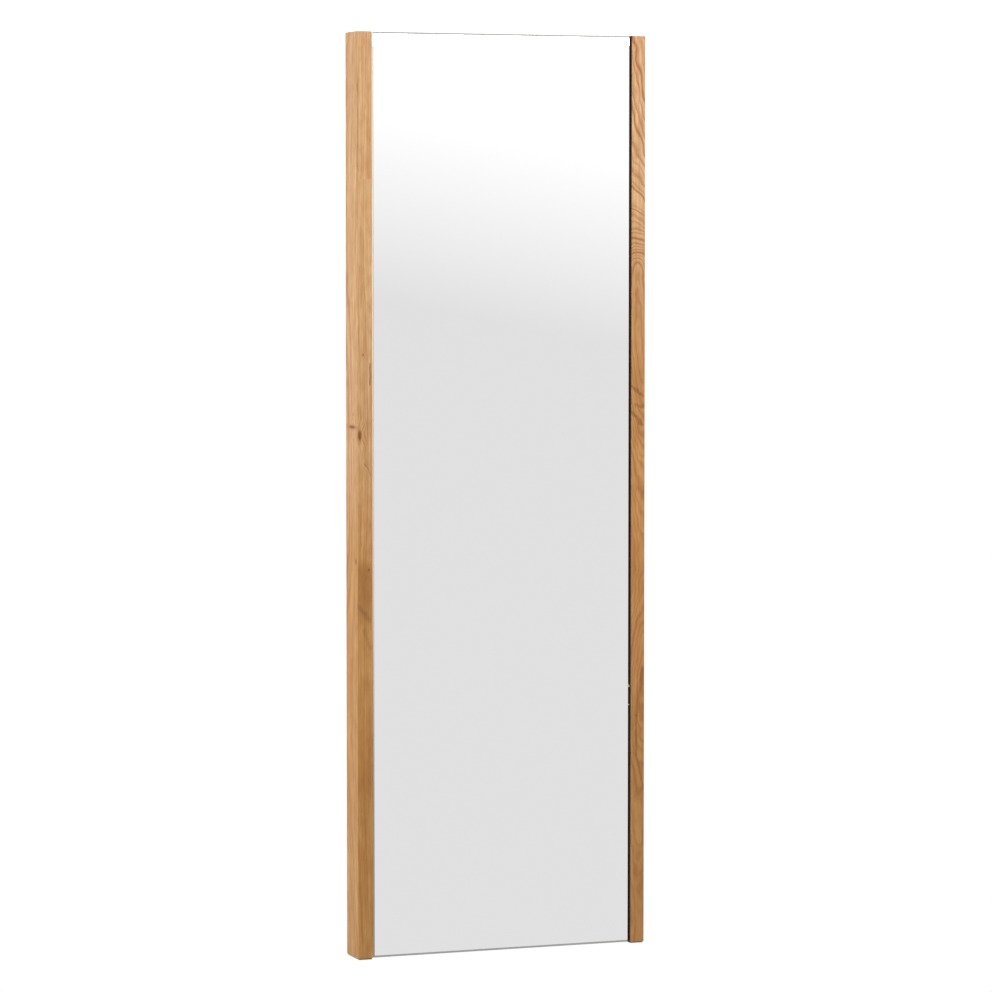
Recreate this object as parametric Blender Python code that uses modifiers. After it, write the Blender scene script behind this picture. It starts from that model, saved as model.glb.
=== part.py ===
"""Full-length floor mirror: frameless glass between two deep oak stiles, with a folding prop behind.

Metres, +Z up. The glass faces -Y and the prop folds into the back, on the +Y side.
The origin is on the floor, under the middle of the object.
"""

import math

import bmesh
import bpy
from mathutils import Matrix, Vector

# Overall size
HEIGHT = 1.800
WIDTH = 0.600
DEPTH = 0.070

# Clearances
FIT = 0.0003
HINGE_PLAY = 0.0001

# Stiles and the felt glides under them
STILE_FACE = 0.030
STILE_EDGE = 0.0010
GLIDE_THICK = 0.0020
GLIDE_INSET_SIDE = 0.0020
GLIDE_INSET_END = 0.0010

# Glass, its adhesive tape and the panel behind it
GLASS_THICK = 0.005
GLASS_SETBACK = 0.002
GLASS_REVEAL = 0.004
GLASS_END_INSET = 0.0005
GLASS_BEVEL = 0.004
GLASS_BEVEL_DEEP = 0.0012
TAPE_THICK = 0.0014
TAPE_WIDTH = 0.025
TAPE_COUNT = 3
TAPE_SPACING = 0.180
TAPE_END_INSET = 0.100
PANEL_THICK = 0.009
PANEL_END_INSET = 0.0015

# Cross rails: heights of their middles, measured from the floor or down from the top
RAIL_THICK = 0.022
RAIL_TALL = 0.085
RAIL_EDGE = 0.0015
TOP_RAIL_DROP = 0.0575
BOTTOM_RAIL_UP = 0.0825
TENON_LENGTH = 0.020
TENON_THICK = 0.010
TENON_SHOULDER = 0.012
PANEL_SCREW_INSET = 0.050
PANEL_SCREW_BITE = 0.007

# Prop frame
PROP_WIDTH = 0.300
PROP_OPENING = math.radians(14.0)
LEG_WIDTH = 0.030
LEG_THICK = 0.020
LEG_FLOOR_GAP = 0.008
LEG_EDGE = 0.0015
TOP_BAR_TALL = 0.070
BAR_TALL = 0.045
MIDDLE_BAR_UP = 0.6225
BAR_TENON_LENGTH = 0.015
BAR_TENON_THICK = 0.008
BAR_TENON_SHOULDER = 0.008
FOOT_THICK = 0.004
FOOT_INSET = 0.001
FOOT_EDGE = 0.0012
PEG_RADIUS = 0.003
PEG_LENGTH = 0.012

# Butt hinge at the top of the prop
HINGE_HEIGHT = 1.350
HINGE_WIDTH = 0.260
KNUCKLE_WIDTH = 0.100
KNUCKLE_RADIUS = 0.0042
KNUCKLE_CLEAR = 0.0008
KNUCKLE_SIDE_GAP = 0.0004
TAB_INSET = 0.0003
LEAF_TALL = 0.045
LEAF_THICK = 0.0018
LEAF_GAP = 0.0014
PIN_RADIUS = 0.0020
PIN_HEAD_RADIUS = 0.0034
PIN_HEAD_THICK = 0.0012
FRAME_LEAF_SCREW_SPACING = 0.100
PROP_LEAF_SCREW_SPACING = 0.120
LEAF_SCREW_DROP = 0.026

# Slotted stay: pivot and stud heights are measured down from the hinge axis
PIVOT_DROP = 0.300
STUD_DROP = 0.600
ARM_WIDTH = 0.018
ARM_THICK = 0.002
ARM_PLAY = 0.0004
SLOT_RADIUS = 0.0040
SLOT_END_PLAY = 0.0015
STUD_RADIUS = 0.00225
STUD_HEAD_RADIUS = 0.0055
STUD_HEAD_THICK = 0.0025
STUD_COLLAR_RADIUS = 0.0048
STUD_COLLAR_THICK = 0.0019
STUD_BITE = 0.012
BRACKET_THICK = 0.002
BRACKET_TALL = 0.036
BRACKET_WIDTH = 0.028
BRACKET_REACH = 0.007
BRACKET_SCREW_INSET = 0.010
BRACKET_SCREW_SPACING = 0.020
RIVET_RADIUS = 0.0025
RIVET_HEAD_RADIUS = 0.0045
RIVET_HEAD_THICK = 0.0015

# Keyhole plates let into the back of the stiles
PLATE_WIDTH = 0.018
PLATE_TALL = 0.060
PLATE_THICK = 0.002
PLATE_CORNER = 0.003
PLATE_DROP = 0.150
KEYHOLE_RADIUS = 0.0050
KEYHOLE_SLOT_RADIUS = 0.0025
KEYHOLE_RISE = 0.012
KEYHOLE_POCKET_DEEP = 0.010
KEYHOLE_POCKET_WIDE = 0.013
PLATE_SCREW_SPACING = 0.046

# Magnetic catch at the foot of the prop
MAGNET_RADIUS = 0.0090
MAGNET_THICK = 0.0026
STRIKE_RADIUS = 0.0080
STRIKE_THICK = 0.0018

# Screws: shank radius, head radius, length
PANEL_SCREW = (0.0020, 0.0040, RAIL_THICK + FIT + PANEL_SCREW_BITE)
LEAF_SCREW = (0.0017, 0.0032, 0.016)
SMALL_SCREW = (0.0015, 0.0028, 0.014)
SCREW_POINT = 0.003

# Facets
TURN_STEPS = 16
BORE_STEPS = 24
ARC_STEPS = 8
OVERCUT = 0.002

# Places that follow from the sizes above
STILE_FOOT = GLIDE_THICK + FIT
STILE_INNER = WIDTH / 2 - STILE_FACE
GLASS_FRONT = -DEPTH / 2 + GLASS_SETBACK
GLASS_BACK = GLASS_FRONT + GLASS_THICK
PANEL_FRONT = GLASS_BACK + TAPE_THICK + 2 * FIT
PANEL_BACK = PANEL_FRONT + PANEL_THICK
RAIL_FRONT = PANEL_BACK + FIT
RAIL_BACK = RAIL_FRONT + RAIL_THICK
FRAME_LEAF_BACK = RAIL_BACK + FIT + LEAF_THICK
HINGE_Y = FRAME_LEAF_BACK + LEAF_GAP / 2
PROP_LEAF_FRONT = FRAME_LEAF_BACK + LEAF_GAP
PROP_FRONT = PROP_LEAF_FRONT + LEAF_THICK + FIT
PROP_TOP = HINGE_HEIGHT - KNUCKLE_RADIUS - KNUCKLE_CLEAR
LEG_INNER = PROP_WIDTH / 2 - LEG_WIDTH
STAY_Y = PROP_FRONT + LEG_THICK / 2
ARM_OUTER = LEG_INNER - STUD_COLLAR_THICK - 2 * FIT
ARM_INNER = ARM_OUTER - ARM_THICK
BRACKET_OUTER = ARM_INNER - ARM_PLAY
PLATE_MIDDLE = HEIGHT - PLATE_DROP
SIDES = (("left", -1), ("right", 1))
RAILS = {
    "top": HEIGHT - TOP_RAIL_DROP,
    "hinge": PROP_TOP - RAIL_TALL / 2,
    "stay": HINGE_HEIGHT - PIVOT_DROP,
    "bottom": BOTTOM_RAIL_UP,
}
BARS = {
    "top": (PROP_TOP - TOP_BAR_TALL / 2, TOP_BAR_TALL),
    "middle": (MIDDLE_BAR_UP, BAR_TALL),
    "bottom": (BOTTOM_RAIL_UP, BAR_TALL),
}


def clear_scene():
    """Start from an empty scene."""
    for item in list(bpy.data.objects):
        bpy.data.objects.remove(item, do_unlink=True)


def new_collection(name):
    """A collection of the given name, linked to the scene."""
    group = bpy.data.collections.new(name)
    bpy.context.scene.collection.children.link(group)
    return group


def linear(code):
    """A hex colour as linear red, green, blue and alpha."""
    values = [int(code[i:i + 2], 16) / 255 for i in (1, 3, 5)]
    return [v / 12.92 if v <= 0.04045 else ((v + 0.055) / 1.055) ** 2.4 for v in values] + [1.0]


def new_material(name, code, roughness, metallic=0.0):
    """A Principled material with one colour."""
    material = bpy.data.materials.new(name)
    material.use_nodes = True
    shader = material.node_tree.nodes["Principled BSDF"]
    shader.inputs["Base Color"].default_value = linear(code)
    shader.inputs["Roughness"].default_value = roughness
    shader.inputs["Metallic"].default_value = metallic
    return material


def add_object(name, mesh, material):
    """Link a mesh as a part, or as a cutter when it has no material."""
    item = bpy.data.objects.new(name, mesh)
    if material is None:
        cutters.objects.link(item)
        item.hide_render = True
        item.display_type = "WIRE"
    else:
        parts.objects.link(item)
        mesh.materials.append(material)
    return item


def box(name, low, high, material=None, edge=0.0):
    """A box between two corners, with its edges eased."""
    size = [b - a for a, b in zip(low, high)]
    shape = bmesh.new()
    bmesh.ops.create_cube(shape, size=1.0, matrix=Matrix.Diagonal((*size, 1.0)))
    mesh = bpy.data.meshes.new(name)
    shape.to_mesh(mesh)
    shape.free()
    item = add_object(name, mesh, material)
    item.location = [(a + b) / 2 for a, b in zip(low, high)]
    if edge:
        bevel = item.modifiers.new("Eased edges", "BEVEL")
        bevel.width = edge
        bevel.segments = 1
    return item


def turned(name, profile, location, direction, material=None, steps=TURN_STEPS, closed=False):
    """Spin (radius, height) points, top to bottom, about an axis that leaves location along direction."""
    edges = [(i, i + 1) for i in range(len(profile) - 1)]
    if closed:
        edges.append((len(profile) - 1, 0))
    mesh = bpy.data.meshes.new(name)
    mesh.from_pydata([(radius, 0.0, height) for radius, height in profile], edges, [])
    item = add_object(name, mesh, material)
    item.location = location
    item.rotation_euler = Vector(direction).to_track_quat("Z", "Y").to_euler()
    spin = item.modifiers.new("Turn", "SCREW")
    spin.steps = steps
    spin.render_steps = steps
    spin.use_merge_vertices = True
    spin.merge_threshold = 0.00001
    return item


def rod(name, radius, start, direction, length, material=None, steps=TURN_STEPS):
    """A plain round bar from start along direction."""
    profile = [(0.0, length), (radius, length), (radius, 0.0), (0.0, 0.0)]
    return turned(name, profile, start, direction, material, steps)


def arc(centre, radius, start, end):
    """Points on an arc, with both ends."""
    turns = [start + (end - start) * i / ARC_STEPS for i in range(ARC_STEPS + 1)]
    return [(centre[0] + radius * math.cos(t), centre[1] + radius * math.sin(t)) for t in turns]


def capsule(low, high, radius):
    """An upright slot outline between two end centres."""
    return arc((0.0, high), radius, 0.0, math.pi) + arc((0.0, low), radius, math.pi, 2 * math.pi)


def flat_plate(name, outlines, thickness, location, rotation, material=None):
    """A flat plate from one outer outline and the outlines of its holes, as a welded mesh."""
    curve = bpy.data.curves.new(name + "_outline", "CURVE")
    curve.dimensions = "2D"
    curve.fill_mode = "BOTH"
    curve.extrude = thickness / 2
    for outline in outlines:
        spline = curve.splines.new("POLY")
        spline.points.add(len(outline) - 1)
        for point, (across, up) in zip(spline.points, outline):
            point.co = (across, up, 0.0, 1.0)
        spline.use_cyclic_u = True
    drawing = bpy.data.objects.new(name + "_outline", curve)
    cutters.objects.link(drawing)
    mesh = bpy.data.meshes.new_from_object(drawing.evaluated_get(bpy.context.evaluated_depsgraph_get()))
    bpy.data.objects.remove(drawing, do_unlink=True)
    shape = bmesh.new()
    shape.from_mesh(mesh)
    bmesh.ops.remove_doubles(shape, verts=shape.verts, dist=0.00001)
    bmesh.ops.recalc_face_normals(shape, faces=shape.faces)
    shape.to_mesh(mesh)
    shape.free()
    mesh.materials.clear()
    item = add_object(name, mesh, material)
    item.location = location
    item.rotation_euler = rotation
    return item


def combine(item, tool, operation="DIFFERENCE"):
    """Cut the tool from a part, or join it on."""
    boolean = item.modifiers.new(operation.title() + " " + tool.name, "BOOLEAN")
    boolean.operation = operation
    boolean.object = tool
    return item


def smooth(item):
    """Smooth shading on the round faces of a turned part."""
    spin = item.modifiers["Turn"]
    spin.use_smooth_shade = True
    return item


def screw_profile(size, grow=0.0):
    """A countersunk screw with its head face at height 0, grown all over for its hole."""
    shank, head, length = size
    cone = head - shank
    top = [(0.0, grow), (head + grow, grow)] if grow else [(0.0, 0.0)]
    neck = [(head + grow, -grow), (shank + grow, -cone - grow)]
    point = [(shank + grow, SCREW_POINT - length - grow), (0.0, -length - grow)]
    return top + neck + point


def screw(name, size, location, direction, targets, material):
    """A countersunk screw and its hole through every target; direction points out of the head."""
    hole = turned(name + "_hole", screw_profile(size, FIT), location, direction)
    for target in targets:
        combine(target, hole)
    return smooth(turned(name, screw_profile(size), location, direction, material)), hole


def stile(side, sign):
    """One deep oak stile, standing on its glide."""
    inner, outer = sorted((sign * STILE_INNER, sign * WIDTH / 2))
    low = (inner, -DEPTH / 2, STILE_FOOT)
    return box("stile_" + side, low, (outer, DEPTH / 2, HEIGHT), oak, STILE_EDGE)


def glide(side, sign):
    """A felt strip under a stile."""
    middle = sign * (WIDTH - STILE_FACE) / 2
    half = STILE_FACE / 2 - GLIDE_INSET_SIDE
    end = DEPTH / 2 - GLIDE_INSET_END
    return box("glide_" + side, (middle - half, -end, 0.0), (middle + half, end, GLIDE_THICK), felt)


def mirror_glass():
    """The silvered glass, with a shallow bevel ground across its front at the top and the bottom."""
    half = STILE_INNER - GLASS_REVEAL
    bottom, top = STILE_FOOT + GLASS_END_INSET, HEIGHT - GLASS_END_INSET
    shape = bmesh.new()
    rims = ((GLASS_FRONT, GLASS_BEVEL), (GLASS_FRONT + GLASS_BEVEL_DEEP, 0.0), (GLASS_BACK, 0.0))
    for depth, inset in rims:
        for x in (-half, half):
            for z in (bottom + inset, top - inset):
                shape.verts.new((x, depth, z))
    bmesh.ops.convex_hull(shape, input=shape.verts)
    mesh = bpy.data.meshes.new("mirror_glass")
    shape.to_mesh(mesh)
    shape.free()
    return add_object("mirror_glass", mesh, silver)


def bond_tape(number):
    """One strip of foam tape between the glass and the panel."""
    middle = (number - (TAPE_COUNT - 1) / 2) * TAPE_SPACING
    low = (middle - TAPE_WIDTH / 2, GLASS_BACK + FIT, STILE_FOOT + TAPE_END_INSET)
    high = (middle + TAPE_WIDTH / 2, GLASS_BACK + FIT + TAPE_THICK, HEIGHT - TAPE_END_INSET)
    return box("bond_tape_" + str(number + 1), low, high, foam)


def carrier_panel():
    """The board that carries the glass."""
    half = STILE_INNER - FIT
    low = (-half, PANEL_FRONT, STILE_FOOT + PANEL_END_INSET)
    return box("carrier_panel", low, (half, PANEL_BACK, HEIGHT - PANEL_END_INSET), board)


def tenon_box(name, sign, middle, half_tall, reach, grow=0.0):
    """The tongue at a rail's end, or with grow the mortise that it enters."""
    root, tip = sorted((sign * (STILE_INNER - OVERCUT), sign * (reach + grow)))
    centre = (RAIL_FRONT + RAIL_BACK) / 2
    half = TENON_THICK / 2 + grow
    low = (root, centre - half, middle - half_tall - grow)
    return box(name, low, (tip, centre + half, middle + half_tall + grow))


def rail(place, middle, stiles):
    """A cross rail tenoned into both stiles."""
    half = STILE_INNER - FIT
    low = (-half, RAIL_FRONT, middle - RAIL_TALL / 2)
    item = box("rail_" + place, low, (half, RAIL_BACK, middle + RAIL_TALL / 2), oak, RAIL_EDGE)
    half_tall = RAIL_TALL / 2 - TENON_SHOULDER
    for (side, sign), post in zip(SIDES, stiles):
        label = "rail_" + place + "_" + side
        combine(item, tenon_box(label + "_tenon", sign, middle, half_tall, half + TENON_LENGTH), "UNION")
        combine(post, tenon_box(label + "_mortise", sign, middle, half_tall, half + TENON_LENGTH, FIT))
    return item


def panel_screws(place, middle, item, panel):
    """Two screws from a rail into the panel."""
    for side, sign in SIDES:
        spot = (sign * (STILE_INNER - PANEL_SCREW_INSET), RAIL_BACK, middle)
        screw("panel_screw_" + place + "_" + side, PANEL_SCREW, spot, (0, 1, 0), (item, panel), steel)


def attach(items, axis):
    """Hang pieces and their cutters on a joint's empty, where they stand."""
    for item in items:
        item.parent = axis
        item.matrix_parent_inverse = Matrix.Translation(axis.location).inverted()


def joint_empty(name, location):
    """An empty on a joint's axis."""
    axis = bpy.data.objects.new(name, None)
    axis.location = location
    parts.objects.link(axis)
    return axis


def prop_leg(side, sign):
    """One leg of the prop, with the hole for its foot's peg."""
    inner, outer = sorted((sign * LEG_INNER, sign * PROP_WIDTH / 2))
    low = (inner, PROP_FRONT, LEG_FLOOR_GAP)
    leg = box("prop_leg_" + side, low, (outer, PROP_FRONT + LEG_THICK, PROP_TOP), oak, LEG_EDGE)
    start = ((inner + outer) / 2, STAY_Y, LEG_FLOOR_GAP - OVERCUT)
    hole = rod("foot_peg_hole_" + side, PEG_RADIUS + FIT, start, (0, 0, 1), PEG_LENGTH + OVERCUT + FIT)
    return combine(leg, hole), hole


def prop_foot(side, sign):
    """A rubber foot with a peg up into the leg."""
    middle = sign * (PROP_WIDTH - LEG_WIDTH) / 2
    half_wide = LEG_WIDTH / 2 - FOOT_INSET
    half_deep = LEG_THICK / 2 - FOOT_INSET
    top = LEG_FLOOR_GAP - FIT
    low = (middle - half_wide, STAY_Y - half_deep, top - FOOT_THICK)
    foot = box("prop_foot_" + side, low, (middle + half_wide, STAY_Y + half_deep, top), rubber, FOOT_EDGE)
    start = (middle, STAY_Y, top - FOOT_THICK / 2)
    peg = rod("foot_peg_" + side, PEG_RADIUS, start, (0, 0, 1), PEG_LENGTH + FOOT_THICK / 2)
    return combine(foot, peg, "UNION"), peg


def bar_tenon(name, sign, middle, half_tall, reach, grow=0.0):
    """The tongue at a prop bar's end, or with grow its mortise."""
    root, tip = sorted((sign * (LEG_INNER - OVERCUT), sign * (reach + grow)))
    half = BAR_TENON_THICK / 2 + grow
    low = (root, STAY_Y - half, middle - half_tall - grow)
    return box(name, low, (tip, STAY_Y + half, middle + half_tall + grow))


def prop_bar(place, middle, tall, legs):
    """A bar tenoned between the prop's legs."""
    half = LEG_INNER - FIT
    low = (-half, PROP_FRONT, middle - tall / 2)
    bar = box("prop_bar_" + place, low, (half, PROP_FRONT + LEG_THICK, middle + tall / 2), oak, LEG_EDGE)
    half_tall = tall / 2 - BAR_TENON_SHOULDER
    reach = half + BAR_TENON_LENGTH
    made = [bar]
    for (side, sign), leg in zip(SIDES, legs):
        label = "prop_bar_" + place + "_" + side
        tenon = bar_tenon(label + "_tenon", sign, middle, half_tall, reach)
        mortise = bar_tenon(label + "_mortise", sign, middle, half_tall, reach, FIT)
        combine(bar, tenon, "UNION")
        combine(leg, mortise)
        made += [tenon, mortise]
    return made


def leaf_outline(spans):
    """A leaf's outline about the hinge axis: a plate with a tab up into each of its knuckles."""
    half = HINGE_WIDTH / 2
    top = -KNUCKLE_RADIUS - KNUCKLE_CLEAR / 2
    tip = -KNUCKLE_RADIUS / 2
    points = [(-half, top - LEAF_TALL), (half, top - LEAF_TALL), (half, top)]
    for start, end in reversed(spans):
        left, right = start + TAB_INSET, end - TAB_INSET
        points += [(right, top), (right, tip), (left, tip), (left, top)]
    return points + [(-half, top)]


def hinge_leaf(name, front, spans):
    """A hinge leaf: a plate with a bored knuckle over each span of its width."""
    place = (0.0, front + LEAF_THICK / 2, HINGE_HEIGHT)
    leaf = flat_plate(name, [leaf_outline(spans)], LEAF_THICK, place, (math.pi / 2, 0, 0), zinc)
    made = [leaf]
    bore = PIN_RADIUS + HINGE_PLAY
    for number, (start, end) in enumerate(spans):
        length = end - start
        profile = [(bore, length), (KNUCKLE_RADIUS, length), (KNUCKLE_RADIUS, 0.0), (bore, 0.0)]
        label = name + "_knuckle_" + str(number + 1)
        centre = (start, HINGE_Y, HINGE_HEIGHT)
        knuckle = turned(label, profile, centre, (1, 0, 0), None, BORE_STEPS, closed=True)
        combine(leaf, knuckle, "UNION")
        made.append(knuckle)
    return made


def hinge_pin():
    """The hinge's pin, with a head at both ends."""
    head = HINGE_WIDTH / 2 + FIT
    end = head + PIN_HEAD_THICK
    profile = [(0.0, end), (PIN_HEAD_RADIUS, end), (PIN_HEAD_RADIUS, head), (PIN_RADIUS, head)]
    profile += [(radius, -height) for radius, height in reversed(profile)]
    return smooth(turned("hinge_pin", profile, (0, HINGE_Y, HINGE_HEIGHT), (1, 0, 0), steel, BORE_STEPS))


def leaf_screws(name, spots, location_y, direction, leaf, wood):
    """Screws through a hinge leaf into the wood behind it."""
    made = []
    for number, across in enumerate(spots):
        spot = (across, location_y, HINGE_HEIGHT - LEAF_SCREW_DROP)
        made += screw(name + "_" + str(number + 1), LEAF_SCREW, spot, direction, (leaf, wood), steel)
    return made


def stud_reach(opening):
    """Distance from the stay's pivot to its stud, with the prop open by an angle."""
    offset = STAY_Y - HINGE_Y
    across = STUD_DROP * math.sin(opening) - offset * (1 - math.cos(opening))
    down = STUD_DROP * math.cos(opening) - offset * math.sin(opening) - PIVOT_DROP
    return math.hypot(across, down)


def stay_arm():
    """The slotted arm that stops the prop, with its origin on its pivot."""
    near = stud_reach(0.0) - SLOT_END_PLAY
    far = stud_reach(PROP_OPENING) + SLOT_END_PLAY
    outlines = [
        capsule(-far, 0.0, ARM_WIDTH / 2),
        capsule(0.0, 0.0, RIVET_RADIUS + FIT),
        capsule(-far, -near, SLOT_RADIUS),
    ]
    location = ((ARM_INNER + ARM_OUTER) / 2, STAY_Y, HINGE_HEIGHT - PIVOT_DROP)
    return flat_plate("stay_arm", outlines, ARM_THICK, location, (math.pi / 2, 0, math.pi / 2), zinc)


def stay_bracket(stay_rail):
    """The angle bracket that carries the stay's pivot."""
    middle = HINGE_HEIGHT - PIVOT_DROP
    front = RAIL_BACK + FIT
    half = BRACKET_TALL / 2
    inner = BRACKET_OUTER - BRACKET_THICK
    low = (BRACKET_OUTER - BRACKET_WIDTH, front, middle - half)
    bracket = box("stay_bracket", low, (BRACKET_OUTER, front + BRACKET_THICK, middle + half), zinc)
    ear_half = STAY_Y + BRACKET_REACH
    ear = box("stay_bracket_ear", (inner, front, middle - half), (BRACKET_OUTER, ear_half, middle + half))
    combine(bracket, ear, "UNION")
    start = (inner - OVERCUT, STAY_Y, middle)
    hole = rod("rivet_hole", RIVET_RADIUS + FIT, start, (1, 0, 0), BRACKET_THICK + 2 * OVERCUT)
    combine(bracket, hole)
    across = BRACKET_OUTER - BRACKET_WIDTH + BRACKET_SCREW_INSET
    for place, sign in (("lower", -1), ("upper", 1)):
        spot = (across, front + BRACKET_THICK, middle + sign * BRACKET_SCREW_SPACING / 2)
        screw("stay_bracket_screw_" + place, SMALL_SCREW, spot, (0, 1, 0), (bracket, stay_rail), steel)
    return bracket


def stay_rivet():
    """The rivet through the bracket and the arm."""
    half = (ARM_OUTER - BRACKET_OUTER + BRACKET_THICK) / 2 + FIT
    end = half + RIVET_HEAD_THICK
    rim = RIVET_HEAD_RADIUS - RIVET_HEAD_THICK / 2
    profile = [(0.0, end), (rim, end), (RIVET_HEAD_RADIUS, end - RIVET_HEAD_THICK / 2)]
    profile += [(RIVET_HEAD_RADIUS, half), (RIVET_RADIUS, half)]
    profile += [(radius, -height) for radius, height in reversed(profile)]
    middle = ARM_OUTER + FIT - half
    place = (middle, STAY_Y, HINGE_HEIGHT - PIVOT_DROP)
    return smooth(turned("stay_pivot_rivet", profile, place, (1, 0, 0), steel))


def stay_stud(leg):
    """The shouldered stud that slides in the arm's slot, and its hole in the leg."""
    arm_gap = ARM_THICK + 2 * FIT
    collar = -STUD_HEAD_THICK - arm_gap
    seat = collar - STUD_COLLAR_THICK
    rim = STUD_HEAD_RADIUS - STUD_HEAD_THICK / 2
    profile = [(0.0, 0.0), (rim, 0.0), (STUD_HEAD_RADIUS, -STUD_HEAD_THICK / 2)]
    profile += [(STUD_HEAD_RADIUS, -STUD_HEAD_THICK), (STUD_RADIUS, -STUD_HEAD_THICK), (STUD_RADIUS, collar)]
    profile += [(STUD_COLLAR_RADIUS, collar), (STUD_COLLAR_RADIUS, seat), (STUD_RADIUS, seat)]
    profile += [(STUD_RADIUS, seat - STUD_BITE), (0.0, seat - STUD_BITE)]
    middle = HINGE_HEIGHT - STUD_DROP
    place = (ARM_INNER - FIT - STUD_HEAD_THICK, STAY_Y, middle)
    stud = smooth(turned("stay_slide_stud", profile, place, (-1, 0, 0), steel))
    start = (LEG_INNER - OVERCUT, STAY_Y, middle)
    hole = rod("stay_stud_hole", STUD_RADIUS + FIT, start, (1, 0, 0), OVERCUT + STUD_BITE + FIT)
    combine(leg, hole)
    return stud, hole


def keyhole_outline():
    """A round entry with a narrower slot rising from it."""
    turn = math.asin(KEYHOLE_SLOT_RADIUS / KEYHOLE_RADIUS)
    start = math.pi / 2 + turn
    entry = arc((0.0, 0.0), KEYHOLE_RADIUS, start, start + 2 * (math.pi - turn))
    return entry + arc((0.0, KEYHOLE_RISE), KEYHOLE_SLOT_RADIUS, 0.0, math.pi)


def plate_outline(grow=0.0):
    """The keyhole plate's rounded outline."""
    radius = PLATE_CORNER + grow
    across = PLATE_WIDTH / 2 - PLATE_CORNER
    up = PLATE_TALL / 2 - PLATE_CORNER
    corners = ((across, up), (-across, up), (-across, -up), (across, -up))
    points = []
    for quarter, corner in enumerate(corners):
        points += arc(corner, radius, quarter * math.pi / 2, (quarter + 1) * math.pi / 2)
    return points


def keyhole_plate(side, sign, post):
    """A keyhole hanging plate let into the back of a stile, with its two screws."""
    middle = sign * (WIDTH - STILE_FACE) / 2
    upright = (math.pi / 2, 0, 0)
    back = DEPTH / 2 - FIT
    place = (middle, back - PLATE_THICK / 2, PLATE_MIDDLE)
    plate = flat_plate("keyhole_plate_" + side, [plate_outline(), keyhole_outline()], PLATE_THICK,
                       place, upright, zinc)
    deep = PLATE_THICK + 2 * FIT + OVERCUT
    seat_place = (middle, DEPTH / 2 + OVERCUT - deep / 2, PLATE_MIDDLE)
    combine(post, flat_plate("plate_seat_" + side, [plate_outline(FIT)], deep, seat_place, upright))
    half = KEYHOLE_POCKET_WIDE / 2
    floor = back - PLATE_THICK - KEYHOLE_POCKET_DEEP
    low = (middle - half, floor, PLATE_MIDDLE - half)
    high = (middle + half, DEPTH / 2 + OVERCUT, PLATE_MIDDLE + KEYHOLE_RISE + half)
    combine(post, box("keyhole_pocket_" + side, low, high))
    for label, way in (("lower", -1), ("upper", 1)):
        spot = (middle, back, PLATE_MIDDLE + way * PLATE_SCREW_SPACING / 2)
        screw("plate_screw_" + side + "_" + label, SMALL_SCREW, spot, (0, 1, 0), (plate, post), steel)


def catch_half(name, radius, thickness, face, direction, wood, material):
    """A round plate of the magnetic catch and its screw; face is its outer face's place in depth."""
    place = (0.0, face, BOTTOM_RAIL_UP)
    profile = [(0.0, 0.0), (radius, 0.0), (radius, -thickness), (0.0, -thickness)]
    plate = smooth(turned(name, profile, place, direction, material, BORE_STEPS))
    return [plate, *screw(name + "_screw", SMALL_SCREW, place, direction, (plate, wood), steel)]


def build_frame():
    """The standing frame: stiles, glass, panel, rails and what is screwed to them."""
    stiles = [stile(side, sign) for side, sign in SIDES]
    for side, sign in SIDES:
        glide(side, sign)
    mirror_glass()
    for number in range(TAPE_COUNT):
        bond_tape(number)
    panel = carrier_panel()
    rails = {place: rail(place, middle, stiles) for place, middle in RAILS.items()}
    for place, middle in RAILS.items():
        panel_screws(place, middle, rails[place], panel)
    for (side, sign), post in zip(SIDES, stiles):
        keyhole_plate(side, sign, post)
    return rails


def build_prop():
    """The folding prop frame, hung on its axis."""
    legs, made = [], []
    for side, sign in SIDES:
        leg, hole = prop_leg(side, sign)
        legs.append(leg)
        made += [leg, hole, *prop_foot(side, sign)]
    bars = {}
    for place, (middle, tall) in BARS.items():
        pieces = prop_bar(place, middle, tall, legs)
        bars[place] = pieces[0]
        made += pieces
    made += stay_stud(legs[1])
    return bars, made


def build_hinge(rails, bars):
    """The butt hinge between the hinge rail and the prop's top bar; returns what turns with the prop."""
    half = HINGE_WIDTH / 2
    inner = KNUCKLE_WIDTH / 2 + KNUCKLE_SIDE_GAP
    frame_leaf = hinge_leaf("hinge_frame_leaf", RAIL_BACK + FIT, ((-half, -inner), (inner, half)))[0]
    prop_side = hinge_leaf("hinge_prop_leaf", PROP_LEAF_FRONT, ((-KNUCKLE_WIDTH / 2, KNUCKLE_WIDTH / 2),))
    hinge_pin()
    step = FRAME_LEAF_SCREW_SPACING
    leaf_screws("frame_leaf_screw", (-step, 0.0, step), FRAME_LEAF_BACK, (0, 1, 0), frame_leaf, rails["hinge"])
    across = PROP_LEAF_SCREW_SPACING / 2
    screws = leaf_screws("prop_leaf_screw", (-across, across), PROP_LEAF_FRONT, (0, -1, 0),
                         prop_side[0], bars["top"])
    return prop_side + screws


def build():
    """The whole mirror, folded and standing."""
    rails = build_frame()
    bars, prop = build_prop()
    prop += build_hinge(rails, bars)
    magnet_face = RAIL_BACK + FIT + MAGNET_THICK
    catch_half("catch_magnet", MAGNET_RADIUS, MAGNET_THICK, magnet_face, (0, 1, 0), rails["bottom"], nickel)
    strike_face = PROP_FRONT - FIT - STRIKE_THICK
    prop += catch_half("catch_strike", STRIKE_RADIUS, STRIKE_THICK, strike_face, (0, -1, 0),
                       bars["bottom"], nickel)
    stay_bracket(rails["stay"])
    stay_rivet()
    stay_arm()
    attach(prop, joint_empty("prop_axis", (0.0, HINGE_Y, HINGE_HEIGHT)))


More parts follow.
